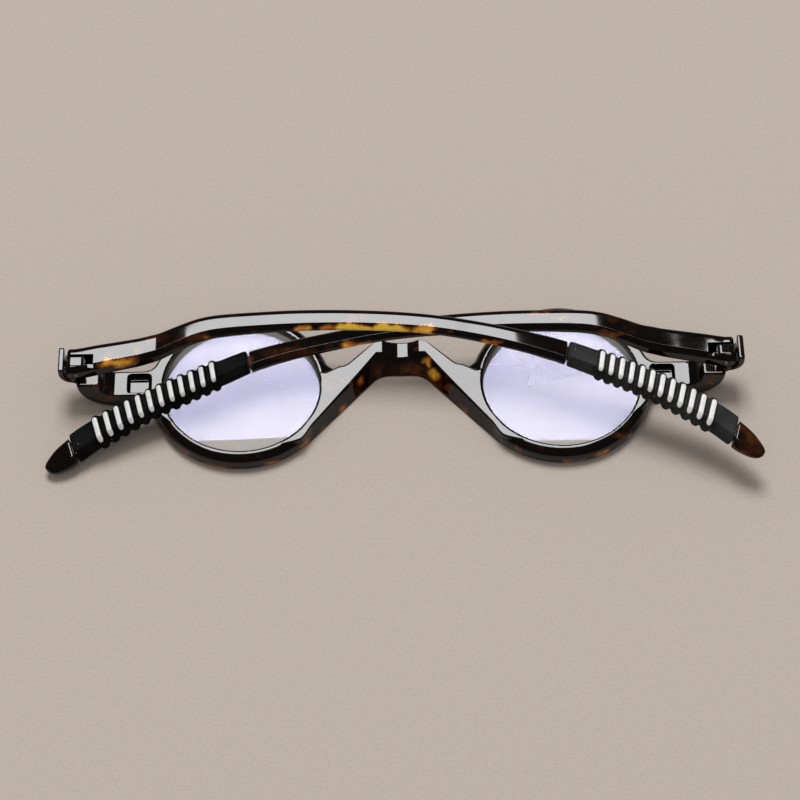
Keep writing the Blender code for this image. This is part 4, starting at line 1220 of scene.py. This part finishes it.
def build_room():
    """An even room, which polished faces hardly mirror."""
    world = bpy.data.worlds.new("pale_room")
    world.use_nodes = True
    tree = world.node_tree
    background = tree.nodes["Background"]
    background.inputs["Color"].default_value = (*ROOM_COLOUR, 1.0)
    path = tree.nodes.new("ShaderNodeLightPath")
    level = tree.nodes.new("ShaderNodeMapRange")
    level.inputs["To Min"].default_value = ROOM_STRENGTH
    level.inputs["To Max"].default_value = ROOM_GLOSS
    tree.links.new(path.outputs["Is Glossy Ray"], level.inputs["Value"])
    tree.links.new(level.outputs[0], background.inputs["Strength"])
    bpy.context.scene.world = world


def build_camera():
    """The camera at the photograph's angle."""
    forward = direction(CAMERA_AZIMUTH, -CAMERA_ELEVATION)
    level = Vector((math.cos(CAMERA_AZIMUTH), -math.sin(CAMERA_AZIMUTH), 0))
    above = level.cross(forward)
    side = level * math.cos(CAMERA_ROLL) + above * math.sin(CAMERA_ROLL)
    up = -level * math.sin(CAMERA_ROLL) + above * math.cos(CAMERA_ROLL)
    lens = bpy.data.cameras.new("camera")
    lens.sensor_width = CAMERA_SENSOR
    lens.lens = CAMERA_LENS
    lens.shift_x, lens.shift_y = CAMERA_SHIFT
    lens.clip_start = CAMERA_CLIP
    camera = placed("camera", lens)
    pose = Matrix((side, up, -forward)).transposed().to_4x4()
    pose.translation = CAMERA_TARGET - forward * CAMERA_DISTANCE
    camera.matrix_world = pose
    bpy.context.scene.camera = camera


# Amber patches: centre and half sizes in millimetres, and how bright each glows
FRONT_PATCHES = (
    ((0.0, -5.0, 1.2), (12.0, 5.0, 1.9), 0.40),
    ((5.3, -1.8, 2.9), (1.2, 1.5, 0.9), 0.90),
    ((7.0, -4.2, 2.0), (1.5, 1.6, 1.2), 0.86),
    ((9.5, -8.0, 1.6), (1.2, 1.6, 1.0), 0.60),
    ((3.4, 1.3, 3.0), (1.0, 0.8, 0.8), 0.60),
    ((-4.3, -3.2, 1.6), (0.8, 0.5, 0.7), 0.84),
    ((-1.2, -2.6, 1.8), (0.9, 0.4, 0.6), 0.80),
    ((1.8, -2.8, 1.6), (0.8, 0.5, 0.6), 0.82),
    ((4.6, -3.6, 1.2), (0.9, 0.6, 0.6), 0.84),
    ((-8.6, -5.2, 2.0), (1.1, 1.6, 1.0), 0.80),
    ((-12.0, -11.0, 0.6), (1.4, 1.8, 0.9), 0.60),
    ((-15.5, -16.0, 0.6), (1.4, 1.8, 0.9), 0.48),
    ((12.5, -12.0, 0.6), (1.4, 1.8, 0.9), 0.50),
    ((-44.0, -21.5, 1.2), (2.4, 1.4, 0.9), 0.70),
    ((-37.5, -25.0, 0.8), (3.0, 1.0, 0.8), 0.68),
    ((-26.5, -24.5, 0.8), (2.6, 0.9, 0.8), 0.70),
    ((-19.5, -20.5, 1.2), (1.6, 1.8, 0.9), 0.58),
    ((-47.5, -17.0, 1.8), (1.2, 2.0, 1.2), 0.58),
    ((34.5, -25.5, 0.8), (3.0, 0.9, 0.8), 0.68),
    ((40.0, -24.0, 1.2), (2.4, 1.2, 0.9), 0.72),
    ((46.0, -21.0, 1.2), (1.6, 1.8, 1.0), 0.74),
    ((24.0, -23.0, 1.0), (2.4, 0.9, 0.8), 0.56),
    ((50.5, -11.0, 2.0), (1.0, 2.4, 1.2), 0.52),
    ((62.0, -8.6, 3.6), (1.8, 0.8, 1.0), 0.76),
    ((-60.0, -9.0, 3.0), (3.0, 1.2, 1.4), 0.52),
    ((-49.3, -8.5, 2.4), (0.9, 3.0, 1.4), 0.58),
)
LEFT_TEMPLE_PATCHES = (
    ((-57.3, -5.6, 10.0), (4.4, 1.2, 1.2), 1.00),
    ((-58.9, -4.4, 11.0), (0.7, 1.5, 0.8), 0.56),
    ((-53.4, -3.6, 11.2), (0.7, 1.5, 0.8), 0.54),
    ((-37.5, -1.3, 11.8), (2.5, 0.8, 1.0), 0.80),
    ((-32.3, -1.1, 12.2), (1.5, 0.8, 1.0), 0.90),
    ((-28.4, -0.9, 12.4), (1.9, 0.8, 1.0), 0.74),
    ((-20.0, -0.6, 12.8), (2.0, 1.1, 1.2), 0.92),
    ((-14.2, -0.7, 12.8), (2.6, 1.1, 1.2), 0.84),
    ((-9.0, -0.4, 12.8), (4.6, 1.3, 1.2), 1.12),
    ((-8.6, 1.0, 13.2), (2.2, 1.4, 0.9), 0.70),
    ((-2.0, -0.7, 12.8), (4.6, 1.2, 1.2), 1.12),
    ((4.6, -0.9, 12.8), (3.4, 1.1, 1.2), 0.94),
    ((9.5, -1.4, 12.6), (1.8, 0.8, 1.0), 0.60),
    ((19.0, -4.0, 12.2), (3.2, 0.8, 1.0), 0.80),
    ((29.0, -5.6, 11.6), (2.6, 0.8, 1.0), 0.46),
    ((-2.0, 4.2, 13.0), (9.0, 0.6, 1.0), 0.66),
    ((-28.0, -1.0, 12.0), (34.0, 1.2, 1.6), 0.34),
    ((70.0, -26.5, 8.0), (4.0, 4.0, 4.0), 0.46),
)
RIGHT_TEMPLE_PATCHES = (
    ((-9.0, -2.2, 9.4), (3.4, 1.4, 1.4), 0.90),
    ((-30.5, -5.0, 9.6), (1.0, 1.6, 1.4), 0.56),
    ((-22.0, -3.6, 9.6), (7.0, 1.4, 1.4), 0.38),
    ((28.5, 3.4, 11.2), (2.6, 0.9, 1.2), 0.62),
    ((33.5, 1.8, 10.8), (4.0, 0.8, 1.2), 0.62),
    ((44.0, -1.3, 10.4), (4.5, 0.8, 1.2), 0.60),
    ((-66.5, -28.0, 8.0), (3.0, 3.0, 3.0), 0.36),
)
# Each side has its own grip and white: painted sheen and painted light on the left temple, painted
# shade on the right
SIDES = (
    ("left", -1, LEFT_TEMPLE_PATCHES, LEFT_GRIP_PAINTED_SHEEN, LEFT_WHITE_PAINTED_LIGHT),
    ("right", 1, RIGHT_TEMPLE_PATCHES, RIGHT_GRIP_PAINTED_SHADE, RIGHT_WHITE_PAINTED_SHADE),
)

clear = lens_surface("clear_lens", HAZE, False, *HAZE_FILM)
coated = lens_surface("coated_lens", COATING, True, *COATING_FILM)
steel = screw_steel()
build_front(tortoise("front_tortoiseshell", FRONT_PATCHES, FRONT_CLOUDS))
for word, side, patches, rubber, white in SIDES:
    build_lens(word, side, clear, coated)
    build_temple(word, side, tortoise("temple_tortoiseshell_" + word, patches, TEMPLE_CLOUDS))
    build_grip(word, side, soft_grip(word + "_silicone", *rubber))
    paint = white_paint(word + "_white", white)
    for count, reach in enumerate(rib_stations(side), start=1):
        build_stripe(word, side, count, reach, paint)
    dress(frame["nodes"]["hinge_screw_" + word], steel)

# The front's flats mirror the light, not the temples above them
for obj in bpy.data.objects:
    if obj.name.startswith(("tortoise_temple", "soft_grip", "white_stripe")):
        obj.visible_glossy = False

build_floor()
build_soft_box()
build_room()
build_camera()
bpy.context.scene.view_settings.view_transform = "Standard"
